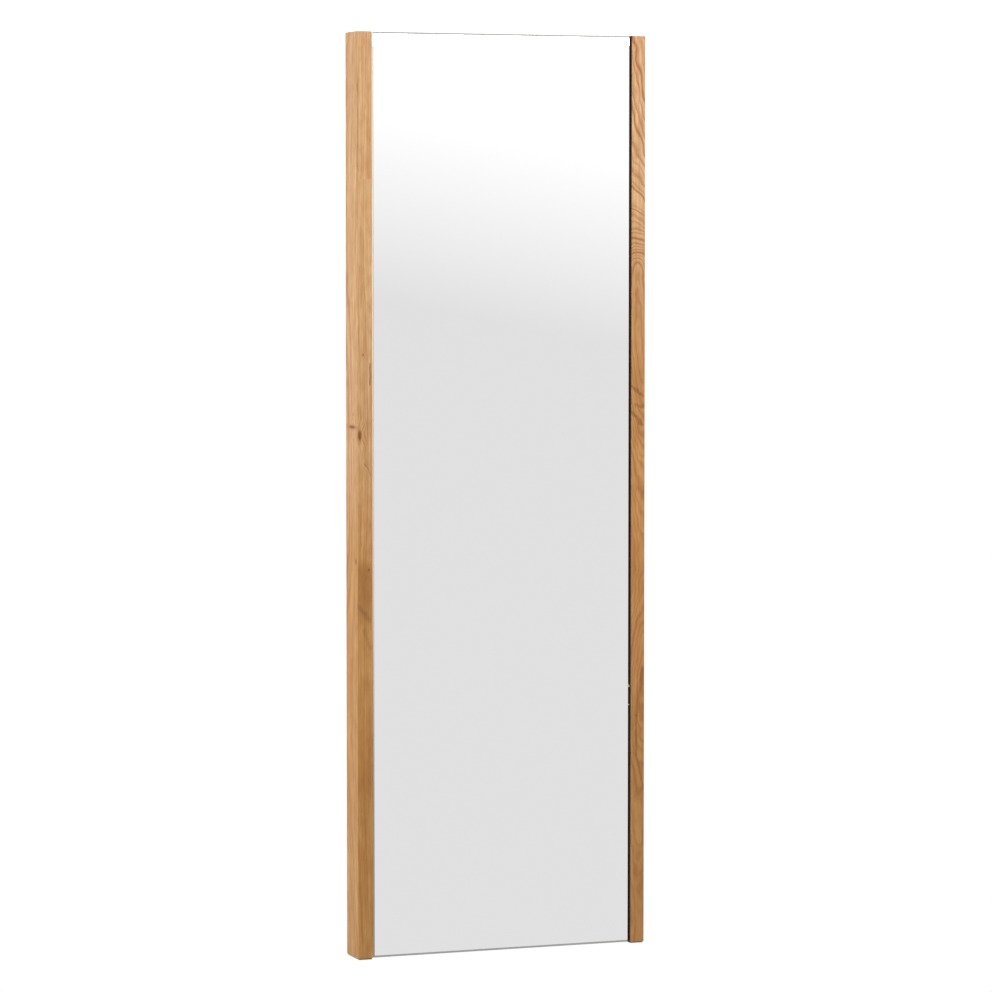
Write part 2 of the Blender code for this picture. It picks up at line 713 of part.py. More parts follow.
clear_scene()
parts = new_collection("floor_mirror")
cutters = new_collection("floor_mirror_cutters")
oak = new_material("oiled oak", "#C9975F", 0.55)
silver = new_material("silvered glass", "#E4E6E4", 0.03, 1.0)
board = new_material("raw fibreboard", "#A98A66", 0.8)
foam = new_material("foam tape", "#3A3A3A", 0.9)
felt = new_material("felt", "#8F8577", 0.95)
zinc = new_material("zinc-plated steel", "#B9BCC0", 0.35, 1.0)
steel = new_material("steel", "#8E9094", 0.3, 1.0)
nickel = new_material("nickel plate", "#C4C2BD", 0.25, 1.0)
rubber = new_material("black rubber", "#1C1C1C", 0.85)
build()
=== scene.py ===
import math

import bmesh
import bpy
from mathutils import Matrix, Vector


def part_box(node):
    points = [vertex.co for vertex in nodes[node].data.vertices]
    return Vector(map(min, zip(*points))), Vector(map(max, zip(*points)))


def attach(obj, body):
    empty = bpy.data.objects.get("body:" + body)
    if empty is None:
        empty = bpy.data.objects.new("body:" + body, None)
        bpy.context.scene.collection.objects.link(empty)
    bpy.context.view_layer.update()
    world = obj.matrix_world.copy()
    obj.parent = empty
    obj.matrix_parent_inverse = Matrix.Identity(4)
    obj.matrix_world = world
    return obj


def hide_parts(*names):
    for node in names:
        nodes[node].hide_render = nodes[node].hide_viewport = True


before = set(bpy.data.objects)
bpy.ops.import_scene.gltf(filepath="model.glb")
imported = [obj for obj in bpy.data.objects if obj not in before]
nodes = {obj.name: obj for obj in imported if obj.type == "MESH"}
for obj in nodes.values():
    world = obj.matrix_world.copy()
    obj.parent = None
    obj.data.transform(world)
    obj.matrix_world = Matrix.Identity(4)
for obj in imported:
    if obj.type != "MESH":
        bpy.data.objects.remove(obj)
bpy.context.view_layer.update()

# --- Oak stiles ---
# Two solid oak posts, planed and oiled. The left one is cut with the growth rings square to its
# face, so its grain runs straight; the right one is cut across them, so it shows arches.


def linear(code):
    """An sRGB hex colour as linear red, green, blue and alpha."""
    values = [int(code[i:i + 2], 16) / 255 for i in (1, 3, 5)]
    return [v / 12.92 if v <= 0.04045 else ((v + 0.055) / 1.055) ** 2.4 for v in values] + [1.0]


def feed(node, inputs):
    """Feeds a node's inputs with values, or with other nodes' outputs."""
    for key, value in inputs.items():
        if isinstance(value, bpy.types.NodeSocket):
            node.id_data.links.new(value, node.inputs[key])
        else:
            node.inputs[key].default_value = value


def wire(tree, kind, inputs=None, output=0, **settings):
    """Adds a node with its settings, feeds it, and returns an output. ShaderNode is left off the kind."""
    node = tree.nodes.new(kind if "Node" in kind else "ShaderNode" + kind)
    for key, value in settings.items():
        setattr(node, key, value)
    feed(node, inputs or {})
    return node.outputs[output]


def new_finish(name, roughness=0.5, metallic=0.0):
    """A named material, its tree, its Principled shader, and each point's place in the piece."""
    finish = bpy.data.materials.new(name)
    finish.use_nodes = True
    shader = finish.node_tree.nodes["Principled BSDF"]
    feed(shader, {"Roughness": roughness, "Metallic": metallic})
    place = wire(finish.node_tree, "TexCoord", output="Object")
    return finish, finish.node_tree, shader, place


def oiled_oak(name, heart, along="z", seed=0.0, knots=(), checks=(), patches=(), joint=None, painted_gap_shade=None,
              ring=0.0030, bold=0.62, wave=0.0004, drift=None, tones=("#D2A468", "#C08C50"), painted_top_light=None,
              calm=None):
    """Oiled European oak, cut from a log whose heart stands at heart, across and deep.

    Rings, pores and fibres fill the solid, so every face and end grain agree. ring is a year's growth, bold
    how dark its spring wood is, and wave how far it ripples. drift is how far the heart wanders along the
    piece: (place along it, across, deep). A knot is a place and its half sizes; a check is a short split; a
    patch is a broad darker cloud. A joint is where two lengths meet end to end on the front. The wood can be
    painted paler upwards, rising between two heights to a strength: painted light for the brighter top under
    the high light. Its rings fade below a height, to a share. The rebate beside the glass can be painted
    nearly black: painted shade standing in for the shadow in the gap.
    """
    finish, tree, shader, place = new_finish(name)
    feed(shader, {"Specular IOR Level": 0.32})
    if along == "x":
        split = wire(tree, "SeparateXYZ", {0: place}).node
        place = wire(tree, "CombineXYZ", {0: split.outputs[2], 1: split.outputs[1], 2: split.outputs[0]})
    x, y, z = wire(tree, "SeparateXYZ", {0: place}).node.outputs
    cut = place
    if joint:
        front = wire(tree, "Math", {0: y, 1: joint[1]}, operation="LESS_THAN")
        under = wire(tree, "Math", {0: z, 1: joint[0]}, operation="LESS_THAN")
        under = wire(tree, "Math", {0: front, 1: under}, operation="MULTIPLY")
        shift = wire(tree, "CombineXYZ", {0: 0.0043, 1: 0.0110, 2: 0.7})
        shift = wire(tree, "VectorMath", {0: shift, 3: under}, operation="SCALE")
        cut = wire(tree, "VectorMath", {0: place, 1: shift}, operation="ADD")
    # Patterns of the growing trunk: where each is read, its offset, how many features it has to the metre
    # across, deep and along the grain, and its detail
    patterns = []
    for ground, offset, density, detail in (
            # The trunk wandered as it grew: slow along the grain, quicker across it
            (cut, (seed, 2 * seed, seed), (9.0, 9.0, 2.0), 1.0),
            # Ripples a few centimetres long run through every ring
            (cut, (0.0, seed, 0.0), (60.0, 60.0, 38.0), 0.0),
            # Heartwood tone, warmer and darker in places over a hand's breadth
            (cut, (seed, 0.0, 3 * seed), (14.0, 14.0, 4.5), 2.0),
            # The ragged outlines of marks
            (place, (seed, 0.0, 0.0), (170.0, 170.0, 70.0), 2.0)):
        spread = wire(tree, "Mapping", {0: ground, 1: offset, 3: density})
        patterns.append(wire(tree, "TexNoise", {"Vector": spread, "Scale": 1.0, "Detail": detail}).node)
    wander, ripple, tone, stray = (noise.outputs for noise in patterns)
    wander = wire(tree, "VectorMath", {0: wander[1], 1: (0.5, 0.5, 0.5)}, operation="SUBTRACT")
    wander = wire(tree, "VectorMath", {0: wander, 1: (0.018, 0.018, 0.0)}, operation="MULTIPLY")
    grown = wire(tree, "VectorMath", {0: cut, 1: wander}, operation="ADD")
    middle = wire(tree, "CombineXYZ", {0: heart[0], 1: heart[1]})
    if drift:
        runs = []
        for way in (1, 2):
            run = wire(tree, "FloatCurve", {"Value": z})
            curve = run.node.mapping
            curve.clip_min_y, curve.clip_max_x = -1.0, 2.0
            curve.use_clip = True
            line = curve.curves[0]
            line.points[0].location = (drift[0][0], drift[0][way])
            line.points[1].location = (drift[-1][0], drift[-1][way])
            for bend in drift[1:-1]:
                line.points.new(bend[0], bend[way])
            curve.update()
            runs.append(run)
        off = wire(tree, "CombineXYZ", {0: runs[0], 1: runs[1]})
        middle = wire(tree, "VectorMath", {0: middle, 1: off}, operation="ADD")
    apart = wire(tree, "VectorMath", {0: grown, 1: middle}, operation="SUBTRACT")
    apart = wire(tree, "VectorMath", {0: apart, 1: (1.0, 1.0, 0.0)}, operation="MULTIPLY")
    radius = wire(tree, "VectorMath", {0: apart}, output="Value", operation="LENGTH")
    ripple = wire(tree, "MapRange", {0: ripple[0], 1: 0.25, 2: 0.75, 3: -wave, 4: wave})
    radius = wire(tree, "Math", {0: radius, 1: ripple}, operation="ADD")
    # Each knot pushes the rings outwards round it
    for spot, size in knots:
        offset = wire(tree, "VectorMath", {0: place, 1: spot}, operation="SUBTRACT")
        offset = wire(tree, "VectorMath", {0: offset, 1: (1.0, 1.0, 0.45)}, operation="MULTIPLY")
        away = wire(tree, "VectorMath", {0: offset}, output="Value", operation="LENGTH")
        push = wire(tree, "MapRange", {0: away, 1: 0.0, 2: 5 * size[0], 3: 2 * size[0], 4: 0.0},
                    interpolation_type="SMOOTHERSTEP")
        radius = wire(tree, "Math", {0: radius, 1: push}, operation="ADD")
    # Growth rings, about 3 mm apart and uneven from year to year
    years = wire(tree, "Math", {0: radius, 1: ring}, operation="DIVIDE")
    uneven = wire(tree, "TexNoise", {"W": years, "Scale": 0.45, "Detail": 1.0}, noise_dimensions="1D")
    years = wire(tree, "Math", {0: uneven, 1: 1.9, 2: years}, operation="MULTIPLY_ADD")
    season = wire(tree, "Math", {0: years}, operation="FRACT")
    spring = wire(tree, "ValToRGB", {0: season})
    stops = spring.node.color_ramp
    stops.interpolation = "EASE"
    stops.elements[0].color = (0.62, 0.62, 0.62, 1.0)
    stops.elements[1].color = (0.58, 0.58, 0.58, 1.0)
    for position, shade in ((0.13, 1.0), (0.36, 0.45), (0.60, 0.05), (0.86, 0.08)):
        stops.elements.new(position).color = (shade, shade, shade, 1.0)
    # Not every year shows as strongly
    strong = wire(tree, "TexNoise", {"W": years, "Scale": 0.8, "Detail": 0.0}, noise_dimensions="1D")
    strong = wire(tree, "MapRange", {0: strong, 1: 0.35, 2: 0.65, 3: 0.40, 4: 1.0})
    # Patterns in the grown wood: offset, features to the metre, detail and roughness
    patterns = []
    for offset, density, detail, rough in (
            # Fibres 4 mm wide that give the long streaks, and hair-fine ones between them
            ((seed, seed, seed), (260.0, 260.0, 2.6), 2.0, 0.5),
            ((0.0, 0.0, 0.0), (1100.0, 1100.0, 14.0), 2.0, 0.6),
            # Pores: open vessels 0.3 mm across and about 12 mm long
            ((0.0, 0.0, 0.0), (1700.0, 1700.0, 60.0), 1.0, 0.5),
            # Soft mottling, a finger's breadth wide and three times as long
            ((0.0, 0.0, seed), (85.0, 85.0, 26.0), 2.0, 0.5)):
        spread = wire(tree, "Mapping", {0: grown, 1: offset, 3: density})
        patterns.append(wire(tree, "TexNoise", {"Vector": spread, "Scale": 1.0, "Detail": detail,
                                                "Roughness": rough}))
    broad, fine, pore, mottle = patterns
    # Pores are crowded in the spring wood
    pore = wire(tree, "MapRange", {0: pore, 1: 0.56, 2: 0.68})
    crowd = wire(tree, "MapRange", {0: spring, 1: 0.1, 2: 0.9, 3: 0.30, 4: 1.0})
    pore = wire(tree, "Math", {0: pore, 1: crowd}, operation="MULTIPLY")
    tone = wire(tree, "MapRange", {0: tone[0], 1: 0.35, 2: 0.68})
    wood = wire(tree, "Mix", {0: tone, 6: linear(tones[0]), 7: linear(tones[1])}, output=2, data_type="RGBA")
    # What lies over that tone, from the bottom up: how much of it, and its colour
    layers = []
    # Painted light: the wood is painted paler upwards, standing in for the brighter top under the high front
    # light
    if painted_top_light:
        top_light_lift = wire(tree, "MapRange", {0: z, 1: painted_top_light[0], 2: painted_top_light[1], 3: 0.0, 4: painted_top_light[2]},
                    interpolation_type="SMOOTHSTEP")
        layers.append((top_light_lift, "#F3D2A8"))
    mottle = wire(tree, "MapRange", {0: mottle, 1: 0.40, 2: 0.66, 3: 0.0, 4: 0.40})
    streak = wire(tree, "MapRange", {0: broad, 1: 0.36, 2: 0.66, 3: 0.0, 4: 0.42})
    band = wire(tree, "Math", {0: spring, 1: strong}, operation="MULTIPLY")
    band = wire(tree, "Math", {0: band, 1: bold}, operation="MULTIPLY")
    if calm:
        fade = wire(tree, "MapRange", {0: z, 1: calm[0], 2: calm[1], 3: calm[2], 4: 1.0})
        band = wire(tree, "Math", {0: band, 1: fade}, operation="MULTIPLY")
    hair = wire(tree, "MapRange", {0: fine, 1: 0.35, 2: 0.7, 3: 0.0, 4: 0.22})
    dark = wire(tree, "Math", {0: pore, 1: 0.32}, operation="MULTIPLY")
    layers += [(mottle, "#AE7438"), (streak, "#A37034"), (band, "#96562B"), (hair, "#8A5726"),
               (dark, "#5A3819")]
    # Marks: broad clouds, then each knot's red-brown halo and dark heart, then the splits. Their outlines
    # follow the fibres, so they are a little ragged.
    stray = wire(tree, "VectorMath", {0: stray[1], 1: (0.5, 0.5, 0.5)}, operation="SUBTRACT")
    stray = wire(tree, "VectorMath", {0: stray, 1: (0.006, 0.0, 0.014)}, operation="MULTIPLY")
    stray = wire(tree, "VectorMath", {0: place, 1: stray}, operation="ADD")
    marks = [(stray, spot, 1.0, size, 0.30, strength, "#8A5420") for spot, size, strength in patches]
    marks += [(place, spot, 0.45, size, 0.0, 0.75, "#96611C") for spot, size in knots]
    marks += [(place, spot, 1.0, size, 0.45, 0.93, "#754106") for spot, size in knots]
    for ground, spot, share, size, core, strength, shade in marks:
        offset = wire(tree, "VectorMath", {0: ground, 1: spot}, operation="SUBTRACT")
        scale = tuple(share / half for half in size)
        offset = wire(tree, "VectorMath", {0: offset, 1: scale}, operation="MULTIPLY")
        away = wire(tree, "VectorMath", {0: offset}, output="Value", operation="LENGTH")
        ragged = wire(tree, "Math", {0: fine, 1: 0.6, 2: away}, operation="MULTIPLY_ADD")
        ragged = wire(tree, "Math", {0: ragged, 1: 0.3}, operation="SUBTRACT")
        mark = wire(tree, "MapRange", {0: ragged, 1: core, 2: 1.0, 3: strength, 4: 0.0},
                    interpolation_type="SMOOTHSTEP")
        layers.append((mark, shade))
    for start, end, half, strength in checks:
        start, end = Vector((start[0], front_face, start[1])), Vector((end[0], front_face, end[1]))
        line = end - start
        offset = wire(tree, "VectorMath", {0: stray, 1: start}, operation="SUBTRACT")
        part = wire(tree, "VectorMath", {0: offset, 1: line / line.length_squared}, output="Value",
                    operation="DOT_PRODUCT")
        part = wire(tree, "Clamp", {0: part})
        part = wire(tree, "VectorMath", {0: line, 3: part}, operation="SCALE")
        away = wire(tree, "VectorMath", {0: offset, 1: part}, output="Value", operation="DISTANCE")
        mark = wire(tree, "MapRange", {0: away, 1: 0.3 * half, 2: half, 3: strength, 4: 0.0},
                    interpolation_type="SMOOTHSTEP")
        layers.append((mark, "#65390F"))
    # Painted shade: the stiles' faces in the gap beside the glass are painted nearly black, standing in for
    # the shadow there
    if painted_gap_shade:
        inner = wire(tree, "Math", {0: x}, operation="ABSOLUTE")
        inner = wire(tree, "Math", {0: inner, 1: painted_gap_shade[0]}, operation="LESS_THAN")
        gap_shade = wire(tree, "Math", {0: fine, 1: 0.002, 2: y}, operation="MULTIPLY_ADD")
        gap_shade = wire(tree, "MapRange", {0: gap_shade, 1: painted_gap_shade[1], 2: painted_gap_shade[1] + 0.0015, 3: 0.96, 4: 0.0})
        deep = wire(tree, "Math", {0: y, 1: painted_gap_shade[2]}, operation="GREATER_THAN")
        gap_shade = wire(tree, "Math", {0: gap_shade, 1: deep}, operation="MULTIPLY")
        gap_shade = wire(tree, "Math", {0: gap_shade, 1: inner}, operation="MULTIPLY")
        layers.append((gap_shade, "#1C1004"))
    for amount, colour in layers:
        wood = wire(tree, "Mix", {0: amount, 6: wood, 7: linear(colour)}, output=2, data_type="RGBA")
    gloss = wire(tree, "MapRange", {0: pore, 1: 0.0, 2: 1.0, 3: 0.50, 4: 0.75})
    relief = wire(tree, "Math", {0: fine, 1: 0.18}, operation="MULTIPLY")
    relief = wire(tree, "Math", {0: relief, 1: pore}, operation="SUBTRACT")
    bump = wire(tree, "Bump", {"Height": relief, "Strength": 0.35, "Distance": 0.0003})
    feed(shader, {"Base Color": wood, "Roughness": gloss, "Normal": bump})
    return finish


def placed(name, shape, sharp=None):
    """A worked shape as an object. Edges past the sharp angle stay crisp, others are smooth."""
    mesh = bpy.data.meshes.new(name)
    shape.to_mesh(mesh)
    shape.free()
    if sharp:
        for face in mesh.polygons:
            face.use_smooth = True
        mesh.set_sharp_from_angle(angle=math.radians(sharp))
    item = bpy.data.objects.new(name, mesh)
    bpy.context.scene.collection.objects.link(item)
    return item


def blank(name, low, high):
    """A sawn block between two corners, with its place in its mesh."""
    low, high = Vector(low), Vector(high)
    shape = bmesh.new()
    bmesh.ops.create_cube(shape, size=1.0)
    for corner in shape.verts:
        corner.co = [(low[i] + high[i]) / 2 + corner.co[i] * (high[i] - low[i]) for i in range(3)]
    return placed(name, shape)


def applied(item):
    """An object with its modifiers and its bevels, as a plain mesh."""
    return bpy.data.meshes.new_from_object(item.evaluated_get(bpy.context.evaluated_depsgraph_get()))


def finished(item, finish, cutters=(), ease=0.0, segments=3, even=True):
    """Eases the edges, cuts with the cutters, and leaves a plain mesh with its material."""
    if ease:
        bevel = item.modifiers.new("Eased edges", "BEVEL")
        bevel.width = ease
        bevel.segments = segments
    for cutter in cutters:
        cut = item.modifiers.new("Cut", "BOOLEAN")
        cut.object = cutter
    for face in item.data.polygons:
        face.use_smooth = True
    if even:
        item.modifiers.new("Even normals", "WEIGHTED_NORMAL")
    mesh = applied(item)
    item.modifiers.clear()
    item.data = mesh
    mesh.materials.clear()
    mesh.materials.append(finish)
    for cutter in cutters:
        bpy.data.objects.remove(cutter, do_unlink=True)
    return item


def fitted(piece, finish, node, body):
    """Gives a piece its finish and puts it in its CAD node's place."""
    piece.data.materials.clear()
    piece.data.materials.append(finish)
    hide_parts(node)
    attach(piece, body)


def turned(name, profile, start, direction, segments=32):
    """A turned piece: (radius, height) points from its top down, spun about an axis through start."""
    turn = Vector(direction).to_track_quat("Z", "Y").to_matrix().to_4x4()
    shape = bmesh.new()
    points = [shape.verts.new((radius, 0.0, height)) for radius, height in profile]
    edges = [shape.edges.new(pair) for pair in zip(points, points[1:])]
    bmesh.ops.spin(shape, geom=points + edges, cent=(0, 0, 0), axis=(0, 0, 1), angle=2 * math.pi,
                   steps=segments)
    bmesh.ops.remove_doubles(shape, verts=shape.verts, dist=0.000001)
    bmesh.ops.recalc_face_normals(shape, faces=shape.faces)
    bmesh.ops.transform(shape, matrix=Matrix.Translation(start) @ turn, verts=shape.verts)
    return placed(name, shape, 35)


# Splits are drawn just in front of the stiles' faces
front_face = -0.0352
straight_oak = oiled_oak(
    "Oiled oak, straight cut", heart=(-0.62, 0.05), seed=2.3, joint=(1.5165, -0.03),
    painted_gap_shade=(0.2703, -0.019, -0.0325), tones=("#DBA865", "#C8904E"), painted_top_light=(0.72, 1.05, 0.42),
    drift=((0.0, 0.012, 0.0), (0.6, 0.004, 0.0), (1.0, 0.01, 0.0), (1.4, 0.0, 0.0), (1.8, 0.006, 0.0)),
    knots=[((-0.2955, -0.035, 1.0222), (0.004, 0.004, 0.012)),
           ((-0.3, -0.002, 1.0375), (0.004, 0.023, 0.0036)),
           ((-0.3, -0.0247, 0.777), (0.0016, 0.004, 0.005)),
           ((-0.2769, -0.035, 0.7613), (0.002, 0.003, 0.003)),
           ((-0.2884, -0.035, 1.1778), (0.0011, 0.002, 0.002))],
    checks=[((-0.2861, 0.9692), (-0.2731, 0.9467), 0.001, 0.7),
            ((-0.2996, 0.692), (-0.2751, 0.6621), 0.0065, 0.28),
            ((-0.2874, 0.645), (-0.2752, 0.6095), 0.006, 0.22),
            ((-0.2741, 1.1622), (-0.2741, 1.1216), 0.0022, 0.55),
            ((-0.289, 1.79), (-0.29, 1.72), 0.0008, 0.4),
            ((-0.2995, 1.7), (-0.299, 1.515), 0.001, 0.4)],
    patches=[((-0.285, -0.035, 0.705), (0.02, 0.008, 0.08), 0.55),
             ((-0.285, -0.035, 0.76), (0.024, 0.008, 0.029), 0.35),
             ((-0.285, -0.035, 0.33), (0.02, 0.008, 0.09), 0.25)])
arched_oak = oiled_oak(
    "Oiled oak, flat cut", heart=(0.285, -0.035), seed=7.1, ring=0.0042, bold=0.95, wave=0.0012,
    painted_gap_shade=(0.2712, -0.019, -0.036), tones=("#CF9B60", "#BE864B"), painted_top_light=(1.05, 1.6, 0.46),
    calm=(1.02, 1.25, 0.62),
    drift=((0.0, 0.004, 0.06), (0.3, 0.01, 0.05), (0.45, 0.016, 0.034), (0.6, 0.02, 0.034),
           (0.7, 0.022, 0.048), (0.78, 0.02, 0.054), (0.9, 0.016, 0.046), (1.0, 0.014, 0.034),
           (1.06, 0.013, 0.022), (1.12, 0.01, 0.012), (1.2, 0.003, 0.007), (1.27, 0.001, 0.009),
           (1.31, 0.0, 0.0115), (1.352, 0.0, 0.016), (1.375, -0.001, 0.03), (1.4, -0.003, 0.045),
           (1.45, -0.012, 0.063), (1.5, -0.022, 0.074), (1.56, -0.03, 0.084), (1.66, -0.035, 0.097),
           (1.8, -0.038, 0.11)),
    checks=[((0.2726, 1.1095), (0.2942, 1.0918), 0.005, 0.5),
            ((0.2812, 1.0732), (0.2969, 1.069), 0.0045, 0.42),
            ((0.2738, 1.0587), (0.2944, 1.0346), 0.005, 0.5),
            ((0.2975, 0.55), (0.283, 0.4576), 0.006, 0.3),
            ((0.283, 0.4576), (0.2832, 0.3767), 0.003, 0.5),
            ((0.2832, 0.3767), (0.2991, 0.3059), 0.0028, 0.38)])
# Each back is cut for its keyhole plate, and behind that for the head of the screw it hangs on
fit = 0.0003
pocket_wide, pocket_tall, pocket_deep, pocket_drop = 0.013, 0.025, 0.0123, 0.0065
for side, finish in (("left", straight_oak), ("right", arched_oak)):
    low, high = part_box("stile_" + side)
    plate_low, plate_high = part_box("keyhole_plate_" + side)
    middle = (plate_low + plate_high) / 2
    foot = middle.z - pocket_drop
    seat = blank("seat", plate_low - Vector((fit, fit, fit)),
                 (plate_high.x + fit, high.y + 0.002, plate_high.z + fit))
    pocket = blank("pocket", (middle.x - pocket_wide / 2, high.y - pocket_deep, foot),
                   (middle.x + pocket_wide / 2, high.y + 0.001, foot + pocket_tall))
    post = finished(blank("oak_stile_" + side, low, high), finish, (seat, pocket), ease=0.0006)
    fitted(post, finish, "stile_" + side, "mirror_frame")

# --- Mirror glass ---
# 5 mm float glass, silvered, painted grey on the back, with a shallow bevel ground at its top and bottom.
# It is bonded to the panel and stands 2 mm behind the faces of the stiles.
def mottled(name, kind, pattern, tones, roughness, metallic=0.0, gloss=None, relief=None):
    """A finish that one pattern varies between two tones.

    It can also vary the gloss: where that starts and ends, and the roughness at each end. And it can
    give a relief: its strength and its depth.
    """
    finish, tree, shader, place = new_finish(name, roughness, metallic)
    spread = wire(tree, kind, {"Vector": place, **pattern})
    tint = wire(tree, "Mix", {0: spread, 6: linear(tones[0]), 7: linear(tones[1])}, output=2,
                data_type="RGBA")
    feed(shader, {"Base Color": tint})
    if gloss:
        dull = wire(tree, "MapRange", {0: spread, 1: gloss[0], 2: gloss[1], 3: gloss[2], 4: gloss[3]})
        feed(shader, {"Roughness": dull})
    if relief:
        bump = wire(tree, "Bump", {"Height": spread, "Strength": relief[0], "Distance": relief[1]})
        feed(shader, {"Normal": bump})
    return finish, tree, shader, place


# Silvered float glass: a clean sharp reflection, a little of it lost, and a faint green-grey cast
silvering, tree, shader, place = mottled(
    "Silvered float glass", "TexNoise", {"Scale": 2.5, "Detail": 4.0}, ("#E0E0E0", "#DFE0DF"), 0.004, 1.0)
wiped = wire(tree, "TexNoise", {"Vector": place, "Scale": 14.0, "Detail": 6.0})
wiped = wire(tree, "MapRange", {0: wiped, 1: 0.45, 2: 0.8, 3: 0.002, 4: 0.02})
feed(shader, {"Roughness": wiped})

# Ground glass bevel: left satin by the wheel, so it scatters the light. It is painted by height: a darker
# grey with a faint warmth at the top bevel, as painted shade, and a little paler at the bottom, as painted
# light.
bevel_glass, tree, shader, place = new_finish("Ground glass bevel", 0.45)
height = wire(tree, "SeparateXYZ", {0: place}, output=2)
# Painted shade and light: darker towards the top bevel, paler towards the bottom bevel
lower = wire(tree, "MapRange", {0: height, 1: 0.2, 2: 1.6, 3: 1.0, 4: 0.0})
tint = wire(tree, "Mix", {0: lower, 6: linear("#8B8983"), 7: linear("#BABBB8")}, output=2, data_type="RGBA")
grind = wire(tree, "TexNoise", {"Vector": place, "Scale": 60.0, "Detail": 3.0})
grind = wire(tree, "MapRange", {0: grind, 1: 0.3, 2: 0.7, 3: 0.0, 4: 0.12})
tint = wire(tree, "Mix", {0: grind, 6: tint, 7: linear("#F0EFEA")}, output=2, data_type="RGBA")
lines = wire(tree, "Mapping", {0: place, 3: (3000.0, 3000.0, 3000.0)})
lines = wire(tree, "TexNoise", {"Vector": lines, "Scale": 1.0, "Detail": 1.0})
lines = wire(tree, "Bump", {"Height": lines, "Strength": 0.1, "Distance": 0.0001})
feed(shader, {"IOR": 1.52, "Base Color": tint, "Normal": lines})

# Backing paint over the silver: flat grey with a rolled texture
backing = mottled("Mirror backing paint", "TexNoise", {"Scale": 300.0, "Detail": 2.0},
                  ("#5E625F", "#6E726F"), 0.7)[0]

low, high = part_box("mirror_glass")
bevel, bevel_deep = 0.004, 0.0012
shape = bmesh.new()
for depth, inset in ((low.y, bevel), (low.y + bevel_deep, 0.0), (high.y, 0.0)):
    for x in (low.x, high.x):
        for z in (low.z + inset, high.z - inset):
            shape.verts.new((x, depth, z))
bmesh.ops.convex_hull(shape, input=shape.verts)
bmesh.ops.recalc_face_normals(shape, faces=shape.faces)
glass = placed("silvered_glass", shape)
for finish in (silvering, bevel_glass, backing):
    glass.data.materials.append(finish)
# The front is silvered, the back is painted, and the rest is ground
for face in glass.data.polygons:
    face.material_index = 0 if face.normal.y < -0.99 else 2 if face.normal.y > 0.99 else 1
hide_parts("mirror_glass")
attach(glass, "mirror_frame")

# --- Carrier panel and its tape ---
# 9 mm fibreboard behind the glass, raw on both faces, screwed to the rails. Strips of black
# foam tape hold the glass to it.
# Raw fibreboard: pressed wood fibre, matt and pale brown with darker flecks, faintly clouded
fibreboard, tree, shader, place = new_finish("Raw fibreboard", 0.82)
cloud = wire(tree, "TexNoise", {"Vector": place, "Scale": 9.0, "Detail": 4.0})
tint = wire(tree, "Mix", {0: cloud, 6: linear("#B29372"), 7: linear("#9C7C5B")}, output=2, data_type="RGBA")
fleck = wire(tree, "Mapping", {0: place, 3: (420.0, 420.0, 900.0)})
fleck = wire(tree, "TexNoise", {"Vector": fleck, "Scale": 1.0, "Detail": 3.0, "Roughness": 0.65})
dots = wire(tree, "MapRange", {0: fleck, 1: 0.52, 2: 0.72, 3: 0.0, 4: 0.55})
tint = wire(tree, "Mix", {0: dots, 6: tint, 7: linear("#755638")}, output=2, data_type="RGBA")
nap = wire(tree, "Bump", {"Height": fleck, "Strength": 0.3, "Distance": 0.0002})
feed(shader, {"Base Color": tint, "Normal": nap})

# Closed-cell foam tape: near-black and dull, with open cells about 0.5 mm across
foam = mottled("Closed-cell foam tape", "TexVoronoi", {"Scale": 1800.0}, ("#202022", "#3C3C3E"), 0.9,
               relief=(0.4, 0.0002))[0]
for node, finish in [("carrier_panel", fibreboard)] + [(f"bond_tape_{i}", foam) for i in (1, 2, 3)]:
    nodes[node].data.materials.clear()
    nodes[node].data.materials.append(finish)

# --- Edge seal ---
# A run bead of cream silicone seats the glass against the left stile. The right side is left open
# as a shadow gap, where only two small dabs show.
# Cured silicone: cream, waxy and slightly clouded, with painted shade greying it towards the floor
silicone, tree, shader, place = new_finish("Cured silicone", 0.42)
feed(shader, {"IOR": 1.41, "Subsurface Weight": 0.15, "Subsurface Scale": 0.002})
cloud = wire(tree, "TexNoise", {"Vector": place, "Scale": 45.0, "Detail": 4.0})
tint = wire(tree, "Mix", {0: cloud, 6: linear("#F4E7D2"), 7: linear("#E9D6BC")}, output=2, data_type="RGBA")
height = wire(tree, "SeparateXYZ", {0: place}, output=2)
# Painted shade: the silicone is painted greyer towards the floor, where less light reaches it
painted_low_shade = wire(tree, "MapRange", {0: height, 1: 0.30, 2: 0.75, 3: 0.85, 4: 0.0})
tint = wire(tree, "Mix", {0: painted_low_shade, 6: tint, 7: linear("#A39B8C")}, output=2, data_type="RGBA")
ripple = wire(tree, "Bump", {"Height": cloud, "Strength": 0.2, "Distance": 0.0005})
feed(shader, {"Base Color": tint, "Normal": ripple})


